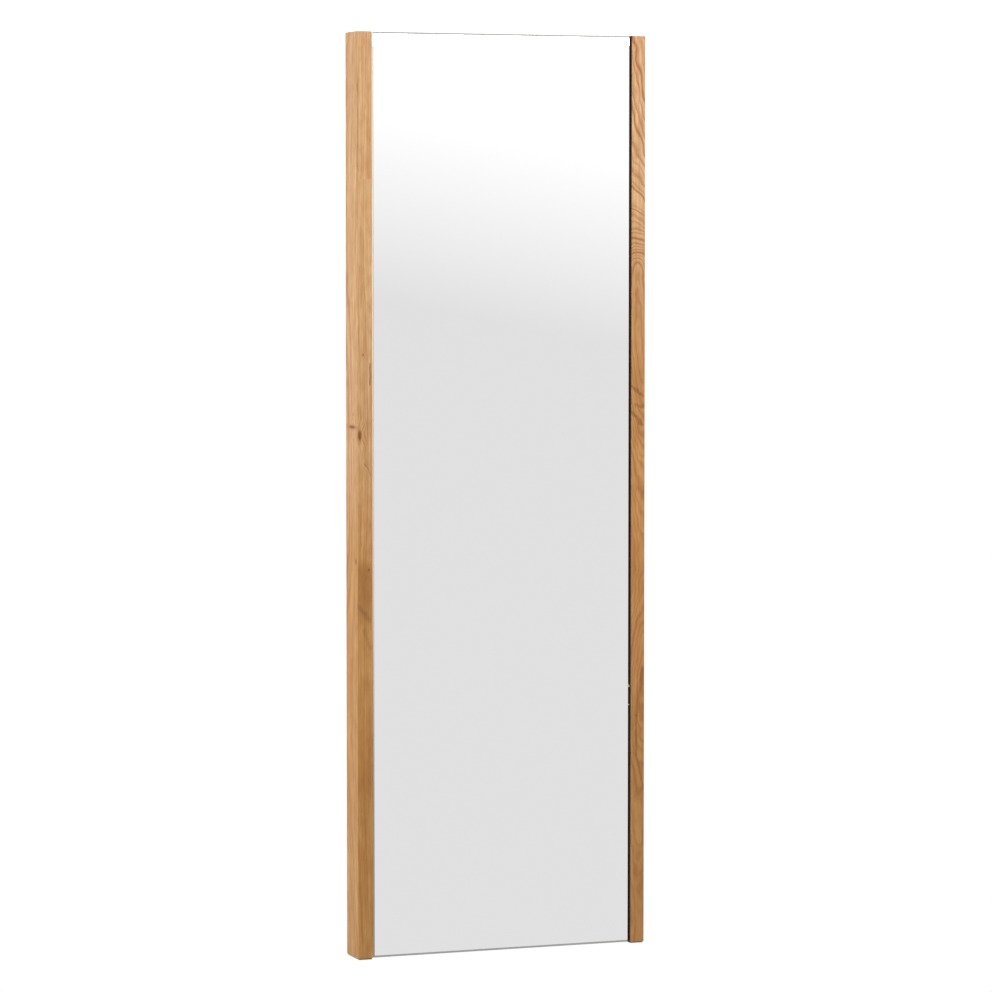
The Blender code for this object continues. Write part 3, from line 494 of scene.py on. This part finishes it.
def bead(name, middle, low_z, high_z, width, bulge, depth, steps, seed):
    """A run bead of sealant in the gap: flat sides, a rounded front that wavers a little, flat back."""
    shape = bmesh.new()
    rings = []
    for step in range(steps + 1):
        z = low_z + (high_z - low_z) * step / steps
        sway = 0.06 * math.sin(9.1 * seed + 61.0 * z) + 0.04 * math.sin(3.7 * seed + 173.0 * z)
        end = min(1.0, 4 * min(step, steps - step) / steps + 0.5) if steps < 20 else 1.0
        ring = []
        for turn in range(7):
            angle = math.pi * turn / 6
            x = middle[0] - math.cos(angle) * width / 2 * end
            y = middle[1] - (math.sin(angle) + sway) * bulge * end
            ring.append(shape.verts.new((x, y, z)))
        for x in (middle[0] + width / 2 * end, middle[0] - width / 2 * end):
            ring.append(shape.verts.new((x, middle[1] + depth, z)))
        rings.append(ring)
    for lower, upper in zip(rings, rings[1:]):
        for i in range(len(lower)):
            j = (i + 1) % len(lower)
            shape.faces.new((lower[i], lower[j], upper[j], upper[i]))
    shape.faces.new(rings[0])
    shape.faces.new(rings[-1])
    bmesh.ops.recalc_face_normals(shape, faces=shape.faces)
    piece = placed(name, shape, 50)
    piece.data.materials.append(silicone)
    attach(piece, "mirror_frame")


low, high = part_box("mirror_glass")
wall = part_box("stile_right")[0].x
gap = wall - high.x
bead("silicone_seal_left", (-(wall + high.x) / 2, low.y + 0.0008, 0), low.z + 0.001, high.z - 0.001,
     gap - 0.0003, 0.0012, 0.0040, 180, 1.0)
for name, middle, half in (("upper", 0.5151, 0.0026), ("lower", 0.4778, 0.0012)):
    bead("silicone_dab_" + name, ((wall + high.x) / 2, low.y + 0.0016, 0), middle - half, middle + half,
         gap - 0.0006, 0.0012, 0.0020, 8, 2.0)

# --- Cross rails ---
# Four oak rails across the back, tenoned into the stiles, with eased edges. Each is drilled and
# countersunk for the two screws that hold the panel.


def head_middle(node, way):
    """The middle of a node's face that looks one way along the depth: 1 to the back, -1 to the front."""
    low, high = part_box(node)
    return (low.x + high.x) / 2, high.y if way > 0 else low.y, (low.z + high.z) / 2


def countersink(node, way):
    """A cutter for the hole of a screw whose head looks one way along the depth, sized from the screw."""
    low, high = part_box(node)
    head = (high.x - low.x) / 2
    cone = wide_cone if head > wide_head else small_cone
    shank = head - cone
    bottom = low.y - high.y - fit
    profile = [(0.0, 0.001), (head + fit, 0.001), (head + fit, -fit), (shank + fit, -cone - fit),
               (shank + fit, bottom), (0.0, bottom)]
    return turned("hole", profile, head_middle(node, way), (0, way, 0), 24)


# Heads over 3.5 mm in radius have a cone 2 mm deep, smaller ones 1.3 mm
wide_head, wide_cone, small_cone = 0.0035, 0.0020, 0.0013
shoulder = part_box("carrier_panel")[1].x
rail_screws = {
    "top": [], "bottom": ["catch_magnet_screw"],
    "hinge": [f"frame_leaf_screw_{i}" for i in (1, 2, 3)],
    "stay": ["stay_bracket_screw_lower", "stay_bracket_screw_upper"],
}
rail_heart = {"top": (1.78, 0.09), "hinge": (1.24, 0.11), "stay": (1.10, 0.13), "bottom": (0.02, 0.10)}
for number, (name, extra) in enumerate(rail_screws.items()):
    low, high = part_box("rail_" + name)
    low.x, high.x = -shoulder, shoulder
    cuts = [countersink(f"panel_screw_{name}_{side}", 1) for side in ("left", "right")]
    cuts += [countersink(node, 1) for node in extra]
    rail_oak = oiled_oak(f"Oiled oak, {name} rail", heart=rail_heart[name], along="x",
                         seed=11.0 + 3.7 * number)
    rail = finished(blank("oak_rail_" + name, low, high), rail_oak, cuts, ease=0.0015)
    fitted(rail, rail_oak, "rail_" + name, "mirror_frame")

# --- Felt glides ---
# A strip of pressed wool felt glued under each stile, cut by hand, so its edge is a little uneven
# and fluffy. It keeps the oak off the floor.
# Pressed wool felt: matt, matted fibres with a soft sheen, in an undyed grey-brown
felt, tree, shader, place = mottled(
    "Pressed wool felt", "TexNoise", {"Scale": 1600.0, "Detail": 5.0, "Distortion": 2.0},
    ("#9A9184", "#7D7366"), 0.95, relief=(0.7, 0.0004))
feed(shader, {"Sheen Weight": 0.3, "Sheen Roughness": 0.6})
for side in ("left", "right"):
    low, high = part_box("glide_" + side)
    pad = blank("felt_strip_" + side, low, high)
    shape = bmesh.new()
    shape.from_mesh(pad.data)
    bmesh.ops.subdivide_edges(shape, edges=shape.edges, cuts=9, use_grid_fill=True)
    # The cut wanders by a quarter of a millimetre, about every 3 mm
    for corner in shape.verts:
        if corner.co.z > low.z + 0.0001:
            wobble = 0.00025 * math.sin(1900 * corner.co.y + 700 * corner.co.x)
            corner.co.x += wobble if corner.co.x < (low.x + high.x) / 2 else -wobble
    shape.to_mesh(pad.data)
    shape.free()
    pad = finished(pad, felt, ease=0.0003, segments=2)
    fitted(pad, felt, "glide_" + side, "mirror_frame")

# --- Folding prop ---
# A light oak ladder frame that swings out behind the mirror: two legs and three bars, tenoned.
# Rubber feet with round pegs are pushed into the legs' ends.
# Moulded rubber: black, dull, with a fine pebble and a dusting of grey on the high spots
rubber = mottled("Moulded rubber", "TexVoronoi", {"Scale": 1400.0}, ("#141415", "#2A2A2B"), 0.78,
                 relief=(0.35, 0.0002))[0]

for number, side in enumerate(("left", "right")):
    low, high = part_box("prop_leg_" + side)
    leg_oak = oiled_oak(f"Oiled oak, {side} leg", heart=(0.20 - 0.46 * number, 0.09),
                        seed=31.0 + 5.3 * number)
    leg = finished(blank("oak_leg_" + side, low, high), leg_oak, ease=0.0015)
    fitted(leg, leg_oak, "prop_leg_" + side, "prop")
    low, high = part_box("prop_foot_" + side)
    high.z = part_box("prop_leg_" + side)[0].z - fit
    foot = finished(blank("rubber_foot_" + side, low, high), rubber, ease=0.0012, segments=4)
    fitted(foot, rubber, "prop_foot_" + side, "prop")

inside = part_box("prop_leg_right")[0].x - fit
bar_screws = {"top": ["prop_leaf_screw_1", "prop_leaf_screw_2"], "middle": [],
              "bottom": ["catch_strike_screw"]}
for number, (name, extra) in enumerate(bar_screws.items()):
    low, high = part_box("prop_bar_" + name)
    low.x, high.x = -inside, inside
    bar_oak = oiled_oak(f"Oiled oak, {name} bar", heart=(low.z - 0.05, 0.08), along="x",
                        seed=47.0 + 4.1 * number)
    cuts = [countersink(node, -1) for node in extra]
    bar = finished(blank("oak_bar_" + name, low, high), bar_oak, cuts, ease=0.0015)
    fitted(bar, bar_oak, "prop_bar_" + name, "prop")

# --- Steel fittings ---
# Hinge leaves, the stay's arm and bracket and the keyhole plates are stamped from 2 mm strip and
# zinc plated. Stamping rounds their edges slightly.
# Bright zinc plate on steel: blue-white metal, softly brushed, dulled in faint clouds
zinc, tree, shader, place = mottled(
    "Zinc-plated steel", "TexNoise", {"Scale": 90.0, "Detail": 4.0}, ("#C6C9CD", "#A9A69C"), 0.32, 1.0,
    gloss=(0.3, 0.75, 0.24, 0.46))
brush = wire(tree, "Mapping", {0: place, 3: (40.0, 2500.0, 2500.0)})
brush = wire(tree, "TexNoise", {"Vector": brush, "Scale": 1.0, "Detail": 2.0})
brush = wire(tree, "Bump", {"Height": brush, "Strength": 0.15, "Distance": 0.0001})
feed(shader, {"Normal": brush})


def arc(centre, radius, start, end, steps=20):
    """Points on an arc, with both ends."""
    turns = [math.radians(start + (end - start) * i / steps) for i in range(steps + 1)]
    return [(centre[0] + radius * math.cos(t), centre[1] + radius * math.sin(t)) for t in turns]


def stamped(name, outlines, thickness, centre, across, up, edge=0.00025):
    """A plate stamped from strip: an outline and its holes, drawn on the across and up directions."""
    curve = bpy.data.curves.new(name, "CURVE")
    curve.dimensions = "2D"
    curve.fill_mode = "BOTH"
    curve.extrude = thickness / 2 - edge
    curve.bevel_depth = edge
    curve.bevel_resolution = 1
    curve.offset = -edge
    for outline in outlines:
        spline = curve.splines.new("POLY")
        spline.points.add(len(outline) - 1)
        for point, spot in zip(spline.points, outline):
            point.co = (spot[0], spot[1], 0.0, 1.0)
        spline.use_cyclic_u = True
    drawing = bpy.data.objects.new(name, curve)
    bpy.context.scene.collection.objects.link(drawing)
    mesh = applied(drawing)
    bpy.data.objects.remove(drawing, do_unlink=True)
    across, up = Vector(across), Vector(up)
    axes = Matrix((across, up, across.cross(up))).transposed().to_4x4()
    mesh.transform(Matrix.Translation(centre) @ axes)
    shape = bmesh.new()
    shape.from_mesh(mesh)
    bmesh.ops.remove_doubles(shape, verts=shape.verts, dist=0.000005)
    bmesh.ops.recalc_face_normals(shape, faces=shape.faces)
    return placed(name, shape)


# Keyhole plates, let in flush with the backs of the stiles. The slot is half as wide as the round hole,
# so it leaves the hole's edge at 60 and 120 degrees.
hole_radius, slot_rise, plate_corner = 0.005, 0.012, 0.003
for side in ("left", "right"):
    low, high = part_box("keyhole_plate_" + side)
    middle = (low + high) / 2
    half = (high - low) / 2
    entry = arc((0.0, 0.0), hole_radius, 120, 420) + arc((0.0, slot_rise), hole_radius / 2, 0, 180)
    outline = []
    for turn, across, up in ((0, 1, 1), (90, -1, 1), (180, -1, -1), (270, 1, -1)):
        corner = (across * (half.x - plate_corner), up * (half.z - plate_corner))
        outline += arc(corner, plate_corner, turn, turn + 90, 6)
    plate = stamped("zinc_keyhole_plate_" + side, [outline, entry], 2 * half.y, middle, (1, 0, 0),
                    (0, 0, 1))
    cuts = [countersink(f"plate_screw_{side}_{place}", 1) for place in ("lower", "upper")]
    plate = finished(plate, zinc, cuts)
    fitted(plate, zinc, "keyhole_plate_" + side, "mirror_frame")

# --- Butt hinge ---
# Two leaves rolled round a steel pin: the frame's leaf carries the outer knuckles and the prop's
# the middle one. The pin's ends are peened over.
pin_low, pin_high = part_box("hinge_pin")
axis_y, axis_z = (pin_low.y + pin_high.y) / 2, (pin_low.z + pin_high.z) / 2
knuckle_radius, pin_radius, side_gap, middle_knuckle = 0.0042, 0.0020, 0.0004, 0.050
leaf_thick, leaf_reach, leaf_corner = 0.0018, 0.0025, 0.004
# Below the knuckles the leaf is as wide as the hinge; narrower tabs run up from it into each knuckle
tab_inset, tab_drop, knuckle_edge, pin_play = 0.0003, 0.0024, 0.0003, 0.0001
for name, body, way, screws in (("frame", "mirror_frame", 1, rail_screws["hinge"]),
                                ("prop", "prop", -1, bar_screws["top"])):
    node = f"hinge_{name}_leaf"
    low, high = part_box(node)
    face = axis_y - way * leaf_reach
    front, back = sorted((face, face + way * leaf_thick))
    top = axis_z - knuckle_radius - 0.0004
    if name == "frame":
        spans = [(low.x, -middle_knuckle - side_gap), (middle_knuckle + side_gap, high.x)]
    else:
        spans = [(-middle_knuckle, middle_knuckle)]
    outline = arc((low.x + leaf_corner, low.z + leaf_corner), leaf_corner, 180, 270, 6)
    outline += arc((high.x - leaf_corner, low.z + leaf_corner), leaf_corner, 270, 360, 6) + [(high.x, top)]
    for start, end in reversed(spans):
        outline += [(end - tab_inset, top), (end - tab_inset, axis_z - tab_drop),
                    (start + tab_inset, axis_z - tab_drop), (start + tab_inset, top)]
    outline += [(low.x, top)]
    leaf = stamped("leaf", [outline], back - front, (0, (front + back) / 2, 0), (1, 0, 0), (0, 0, 1),
                   0.0002)
    leaf = finished(leaf, zinc, [countersink(screw, way) for screw in screws])
    parts = [leaf]
    for start, end in spans:
        long = end - start
        rim, bore = knuckle_radius - knuckle_edge, pin_radius + pin_play
        profile = [(bore, long), (rim, long), (knuckle_radius, long - knuckle_edge),
                   (knuckle_radius, knuckle_edge), (rim, 0.0), (bore, 0.0), (bore, long)]
        parts.append(turned("knuckle", profile, (start, axis_y, axis_z), (1, 0, 0), 40))
    shape = bmesh.new()
    for part in parts:
        shape.from_mesh(part.data)
        bpy.data.objects.remove(part, do_unlink=True)
    leaf = placed(f"zinc_hinge_{name}_leaf", shape)
    fitted(leaf, zinc, node, body)

# Cold-drawn steel: darker and brighter than the plated fittings, with fine lines round it
steel = mottled("Cold-drawn steel", "TexNoise", {"Scale": 900.0, "Detail": 2.0},
                ("#A7A9AC", "#8B8D90"), 0.25, 1.0, gloss=(0.3, 0.7, 0.2, 0.36))[0]

half = (pin_high.x - pin_low.x) / 2
peened = [(0.0, half), (0.0018, half - 0.0001), (0.0030, half - 0.0005), (0.0034, half - 0.0012),
          (pin_radius, half - 0.0012)]
profile = peened + [(radius, -height) for radius, height in reversed(peened)]
pin = turned("steel_hinge_pin", profile, (0, axis_y, axis_z), (1, 0, 0), 40)
fitted(pin, steel, "hinge_pin", "mirror_frame")

# --- Slotted stay ---
# A flat steel arm riveted to a bent bracket on the frame. A shouldered stud in the prop's leg
# slides along the arm's slot and stops the prop when it reaches the end.
arm_low, arm_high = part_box("stay_arm")
wide = arm_high.y - arm_low.y
pivot_z = arm_high.z - wide / 2
far_z = arm_low.z + wide / 2
arm_y = (arm_low.y + arm_high.y) / 2
stud_low, stud_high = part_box("stay_slide_stud")
slot_radius, slot_play, rivet_hole = 0.0040, 0.0015, 0.0028
near_z = (stud_low.z + stud_high.z) / 2 + slot_play
outlines = [
    arc((arm_y, pivot_z), wide / 2, 0, 180) + arc((arm_y, far_z), wide / 2, 180, 360),
    arc((arm_y, pivot_z), rivet_hole, 0, 340),
    arc((arm_y, near_z), slot_radius, 0, 180) + arc((arm_y, far_z), slot_radius, 180, 360),
]
arm = stamped("zinc_stay_arm", outlines, arm_high.x - arm_low.x, ((arm_low.x + arm_high.x) / 2, 0, 0),
              (0, 1, 0), (0, 0, 1), 0.0003)
arm = finished(arm, zinc)
fitted(arm, zinc, "stay_arm", "stay_arm")

# The bracket is bent square from strip, with a tight radius inside the bend
low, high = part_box("stay_bracket")
strip, bend = 0.002, 0.0015
corner = (high.x - bend - strip, low.y + bend + strip)
outline = [(low.x, low.y), (corner[0], low.y)] + arc(corner, bend + strip, 270, 360, 8)
outline += [(high.x, high.y), (high.x - strip, high.y)] + arc(corner, bend, 360, 270, 8)
outline += [(low.x, low.y + strip)]
bracket = stamped("zinc_stay_bracket", [outline], high.z - low.z, (0, 0, (low.z + high.z) / 2),
                  (1, 0, 0), (0, 1, 0), 0.0003)
cuts = [countersink(screw, 1) for screw in rail_screws["stay"]]
bracket = finished(bracket, zinc, cuts)
fitted(bracket, zinc, "stay_bracket", "mirror_frame")

# Domed rivet through bracket and arm
low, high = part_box("stay_pivot_rivet")
half, head, shank, crown = (high.x - low.x) / 2, (high.y - low.y) / 2, 0.0025, 0.0015
profile = []
for angle in range(0, 91, 15):
    turn = math.radians(angle)
    profile.append((head * math.sin(turn), half - crown * (1 - math.cos(turn))))
profile.append((shank, half - crown))
profile += [(radius, -height) for radius, height in reversed(profile)]
rivet = turned("steel_stay_rivet", profile, (low + high) / 2, (1, 0, 0), 32)
fitted(rivet, steel, "stay_pivot_rivet", "mirror_frame")

# Shouldered stud with a slotted cheese head
long = stud_high.x - stud_low.x
head = (stud_high.z - stud_low.z) / 2
thick, shank, collar, collar_start, collar_end = 0.0025, 0.00225, 0.0048, 0.0051, 0.0070
profile = [(0.0, 0.0), (head - 0.0009, 0.0), (head - 0.0003, -0.0003), (head, -0.0009),
           (head, -thick + 0.0002), (head - 0.0002, -thick), (shank, -thick), (shank, -collar_start),
           (collar, -collar_start), (collar, -collar_end), (shank, -collar_end), (shank, -long),
           (0.0, -long)]
stud_y, stud_z = (stud_low.y + stud_high.y) / 2, (stud_low.z + stud_high.z) / 2
stud = turned("steel_stay_stud", profile, (stud_low.x, stud_y, stud_z), (-1, 0, 0), 32)
groove_deep, groove_half, past_head = 0.0010, 0.0006, 0.007
groove = blank("groove", (stud_low.x - 0.001, stud_y - groove_half, stud_z - past_head),
               (stud_low.x + groove_deep, stud_y + groove_half, stud_z + past_head))
stud = finished(stud, steel, [groove], even=False)
stud.data.set_sharp_from_angle(angle=math.radians(35))
fitted(stud, steel, "stay_slide_stud", "prop")

# --- Magnetic catch ---
# A nickel-plated cup magnet on the bottom rail and a steel strike on the prop's bottom bar hold
# the prop folded. Both are turned discs with a countersunk screw.
# Nickel plate: warm bright metal with faint handling marks
nickel = mottled("Nickel plate", "TexNoise", {"Scale": 260.0, "Detail": 4.0},
                 ("#CFCBC2", "#BDB7AB"), 0.2, 1.0, gloss=(0.35, 0.7, 0.14, 0.34))[0]
for name, way, body in (("magnet", 1, "mirror_frame"), ("strike", -1, "prop")):
    low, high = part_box("catch_" + name)
    rim, thick = (high.x - low.x) / 2, high.y - low.y
    # A fine groove is turned in the face 1.2 to 2.2 mm from its rim
    profile = [(0.0, 0.0), (rim - 0.0022, 0.0), (rim - 0.0020, -0.0003), (rim - 0.0014, -0.0003),
               (rim - 0.0012, 0.0), (rim - 0.0004, 0.0), (rim, -0.0004), (rim, -thick), (0.0, -thick)]
    start = head_middle("catch_" + name, way)
    disc = turned("nickel_catch_" + name, profile, start, (0, way, 0), 48)
    disc = finished(disc, nickel, [countersink(f"catch_{name}_screw", way)], even=False)
    disc.data.set_sharp_from_angle(angle=math.radians(35))
    fitted(disc, nickel, "catch_" + name, body)

# --- Screws ---
# Countersunk wood screws with a cross recess, in zinc-plated steel. Each body's screws of one size
# are set out on points at their heads, and one tree of nodes puts a screw at every point.
tree = bpy.data.node_groups.new("Countersunk screws", "GeometryNodeTree")
for name, kind in (("Geometry", "Geometry"), ("Head radius", "Float"), ("Shank radius", "Float"),
                   ("Length", "Float"), ("Recess width", "Float"), ("Recess depth", "Float"),
                   ("Turn", "Vector"), ("Finish", "Material")):
    tree.interface.new_socket(name, in_out="INPUT", socket_type="NodeSocket" + kind)
tree.interface.new_socket("Geometry", in_out="OUTPUT", socket_type="NodeSocketGeometry")
given = tree.nodes.new("NodeGroupInput").outputs
cone = wire(tree, "Math", {0: given["Head radius"], 1: given["Shank radius"]}, operation="SUBTRACT")
drop = wire(tree, "Math", {0: cone, 1: -1.0}, operation="MULTIPLY")
drop = wire(tree, "CombineXYZ", {2: drop})
head = wire(tree, "GeometryNodeMeshCone", {"Vertices": 32, "Radius Top": given["Head radius"],
                                           "Radius Bottom": given["Shank radius"], "Depth": cone})
head = wire(tree, "GeometryNodeTransform", {"Geometry": head, "Translation": drop})
sink = wire(tree, "Math", {0: given["Length"], 1: -0.5}, operation="MULTIPLY")
sink = wire(tree, "Math", {0: sink, 1: 0.0003}, operation="SUBTRACT")
sink = wire(tree, "CombineXYZ", {2: sink})
body = wire(tree, "Math", {0: given["Length"], 1: 0.0006}, operation="SUBTRACT")
shank = wire(tree, "GeometryNodeMeshCylinder", {"Vertices": 20, "Radius": given["Shank radius"],
                                                "Depth": body})
shank = wire(tree, "GeometryNodeTransform", {"Geometry": shank, "Translation": sink})
whole = wire(tree, "GeometryNodeMeshBoolean", {1: head}, operation="UNION").node
feed(whole, {1: shank})
span = wire(tree, "Math", {0: given["Head radius"], 1: 1.15}, operation="MULTIPLY")
deep = wire(tree, "Math", {0: given["Recess depth"], 1: 2.0}, operation="MULTIPLY")
bars = []
for pair in ((span, given["Recess width"]), (given["Recess width"], span)):
    size = wire(tree, "CombineXYZ", {0: pair[0], 1: pair[1], 2: deep})
    bars.append(wire(tree, "GeometryNodeMeshCube", {"Size": size}))
cut = wire(tree, "GeometryNodeMeshBoolean", {0: whole.outputs[0], 1: bars[0]}, operation="DIFFERENCE").node
feed(cut, {1: bars[1]})
spin = wire(tree, "FunctionNodeRandomValue", {2: 0.0, 3: 1.5, "Seed": 4}, output=1, data_type="FLOAT")
spin = wire(tree, "CombineXYZ", {2: spin})
each = wire(tree, "GeometryNodeInstanceOnPoints", {
    "Points": given["Geometry"], "Instance": cut.outputs[0], "Rotation": given["Turn"]})
each = wire(tree, "GeometryNodeRotateInstances", {"Instances": each, "Rotation": spin})
real = wire(tree, "GeometryNodeRealizeInstances", {"Geometry": each})
real = wire(tree, "GeometryNodeSetMaterial", {"Geometry": real, "Material": given["Finish"]})
feed(tree.nodes.new("NodeGroupOutput"), {"Geometry": real})

# Each set's name, body, the way its heads face, the radius of its shanks, and its screws
screw_sets = (
    ("panel_screws", "mirror_frame", 1, 0.0020,
     [f"panel_screw_{rail}_{side}" for rail in rail_screws for side in ("left", "right")]),
    ("leaf_screws_frame", "mirror_frame", 1, 0.0017, rail_screws["hinge"]),
    ("leaf_screws_prop", "prop", -1, 0.0017, bar_screws["top"]),
    ("fitting_screws_frame", "mirror_frame", 1, 0.0015, rail_screws["stay"] + rail_screws["bottom"]
     + [f"plate_screw_{side}_{place}" for side in ("left", "right") for place in ("lower", "upper")]),
    ("fitting_screw_prop", "prop", -1, 0.0015, bar_screws["bottom"]),
)
for name, body, way, shank, members in screw_sets:
    low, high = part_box(members[-1])
    mesh = bpy.data.meshes.new(name)
    mesh.from_pydata([head_middle(member, way) for member in members], [], [])
    piece = bpy.data.objects.new(name, mesh)
    bpy.context.scene.collection.objects.link(piece)
    maker = piece.modifiers.new("Countersunk screws", "NODES")
    maker.node_group = tree
    head = (high.x - low.x) / 2
    sizes = {"Head radius": head, "Shank radius": shank, "Length": high.y - low.y,
             "Recess width": 0.22 * head, "Recess depth": 0.35 * head,
             "Turn": (-way * math.pi / 2, 0.0, 0.0), "Finish": zinc}
    for item in tree.interface.items_tree:
        if item.in_out == "INPUT" and item.name in sizes:
            maker[item.identifier] = sizes[item.name]
    mesh = applied(piece)
    piece.modifiers.clear()
    piece.data = mesh
    mesh.set_sharp_from_angle(angle=math.radians(30))
    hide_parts(*members)
    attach(piece, body)

# --- Stage, light and camera ---
# A white studio floor and surroundings. One soft light hangs high in front, another stands to the
# left, so the oak is brightest at its top and on its left side, and a third lights the back.

# The floor and the surroundings are equally white below the horizon and brighter above it, and the
# change slants a little. The oak gathers less of them, so the lights shape it.
floor_finish = bpy.data.materials.new("White studio floor")
floor_finish.use_nodes = True
tree = floor_finish.node_tree
tree.nodes.clear()
path = wire(tree, "LightPath").node
level = wire(tree, "Mix", {0: path.outputs["Is Diffuse Ray"], 2: 1.005, 3: 0.34}, output=0)
glow = wire(tree, "Emission", {"Color": (1, 1, 1, 1), "Strength": level})
feed(tree.nodes.new("ShaderNodeOutputMaterial"), {"Surface": glow})
floor = turned("studio_floor", [(0.0, -0.0005), (11.9, -0.0005), (12.0, -0.02), (0.0, -0.02)], (0, 0, 0),
               (0, 0, 1), 96)
floor.data.materials.append(floor_finish)

world = bpy.data.worlds.new("White studio")
bpy.context.scene.world = world
world.use_nodes = True
tree = world.node_tree
way = wire(tree, "TexCoord", output="Generated")
split = wire(tree, "SeparateXYZ", {0: way}).node
slant = wire(tree, "Math", {0: split.outputs[0], 1: 0.208, 2: split.outputs[2]}, operation="MULTIPLY_ADD")
above = wire(tree, "MapRange", {0: slant, 1: 0.0520, 2: 0.0960, 3: 1.005, 4: 1.36})
# Towards the zenith it falls to the grey of a studio ceiling
ceiling = wire(tree, "MapRange", {0: split.outputs[2], 1: 0.45, 2: 0.85, 3: 1.0, 4: 0.62},
               interpolation_type="SMOOTHSTEP")
above = wire(tree, "Math", {0: above, 1: ceiling}, operation="MULTIPLY")
path = wire(tree, "LightPath").node
level = wire(tree, "Mix", {0: path.outputs["Is Diffuse Ray"], 2: above, 3: 0.38}, output=0)
feed(tree.nodes["Background"], {"Strength": level, "Color": (1, 1, 1, 1)})

# Soft lights: name, place, the point each faces, its size and its power in watts
for name, spot, target, size, power in (
        ("High front light", (0.9, -2.2, 2.55), (0.0, 0.0, 1.7), (1.4, 1.4), 59.0),
        ("Left light", (-3.2, -0.3, 1.5), (0.0, 0.0, 1.0), (1.8, 2.0), 70.0),
        ("Back light", (1.6, 3.0, 2.6), (0.0, 0.0, 0.9), (1.6, 1.6), 70.0)):
    light = bpy.data.lights.new(name, "AREA")
    light.shape = "RECTANGLE"
    light.size, light.size_y = size
    light.energy = power
    item = bpy.data.objects.new(name, light)
    item.location = spot
    item.rotation_euler = (Vector(target) - Vector(spot)).to_track_quat("-Z", "Y").to_euler()
    bpy.context.scene.collection.objects.link(item)

view = bpy.data.cameras.new("Camera")
view.sensor_width = 36.0
view.lens = 153.3
camera = bpy.data.objects.new("Camera", view)
camera.location = (-2.898, -7.764, 1.411)
camera.rotation_euler = (math.radians(90 - 3.55), 0.0, math.radians(-20.46))
bpy.context.scene.collection.objects.link(camera)
bpy.context.scene.camera = camera
bpy.context.scene.view_settings.view_transform = "Standard"
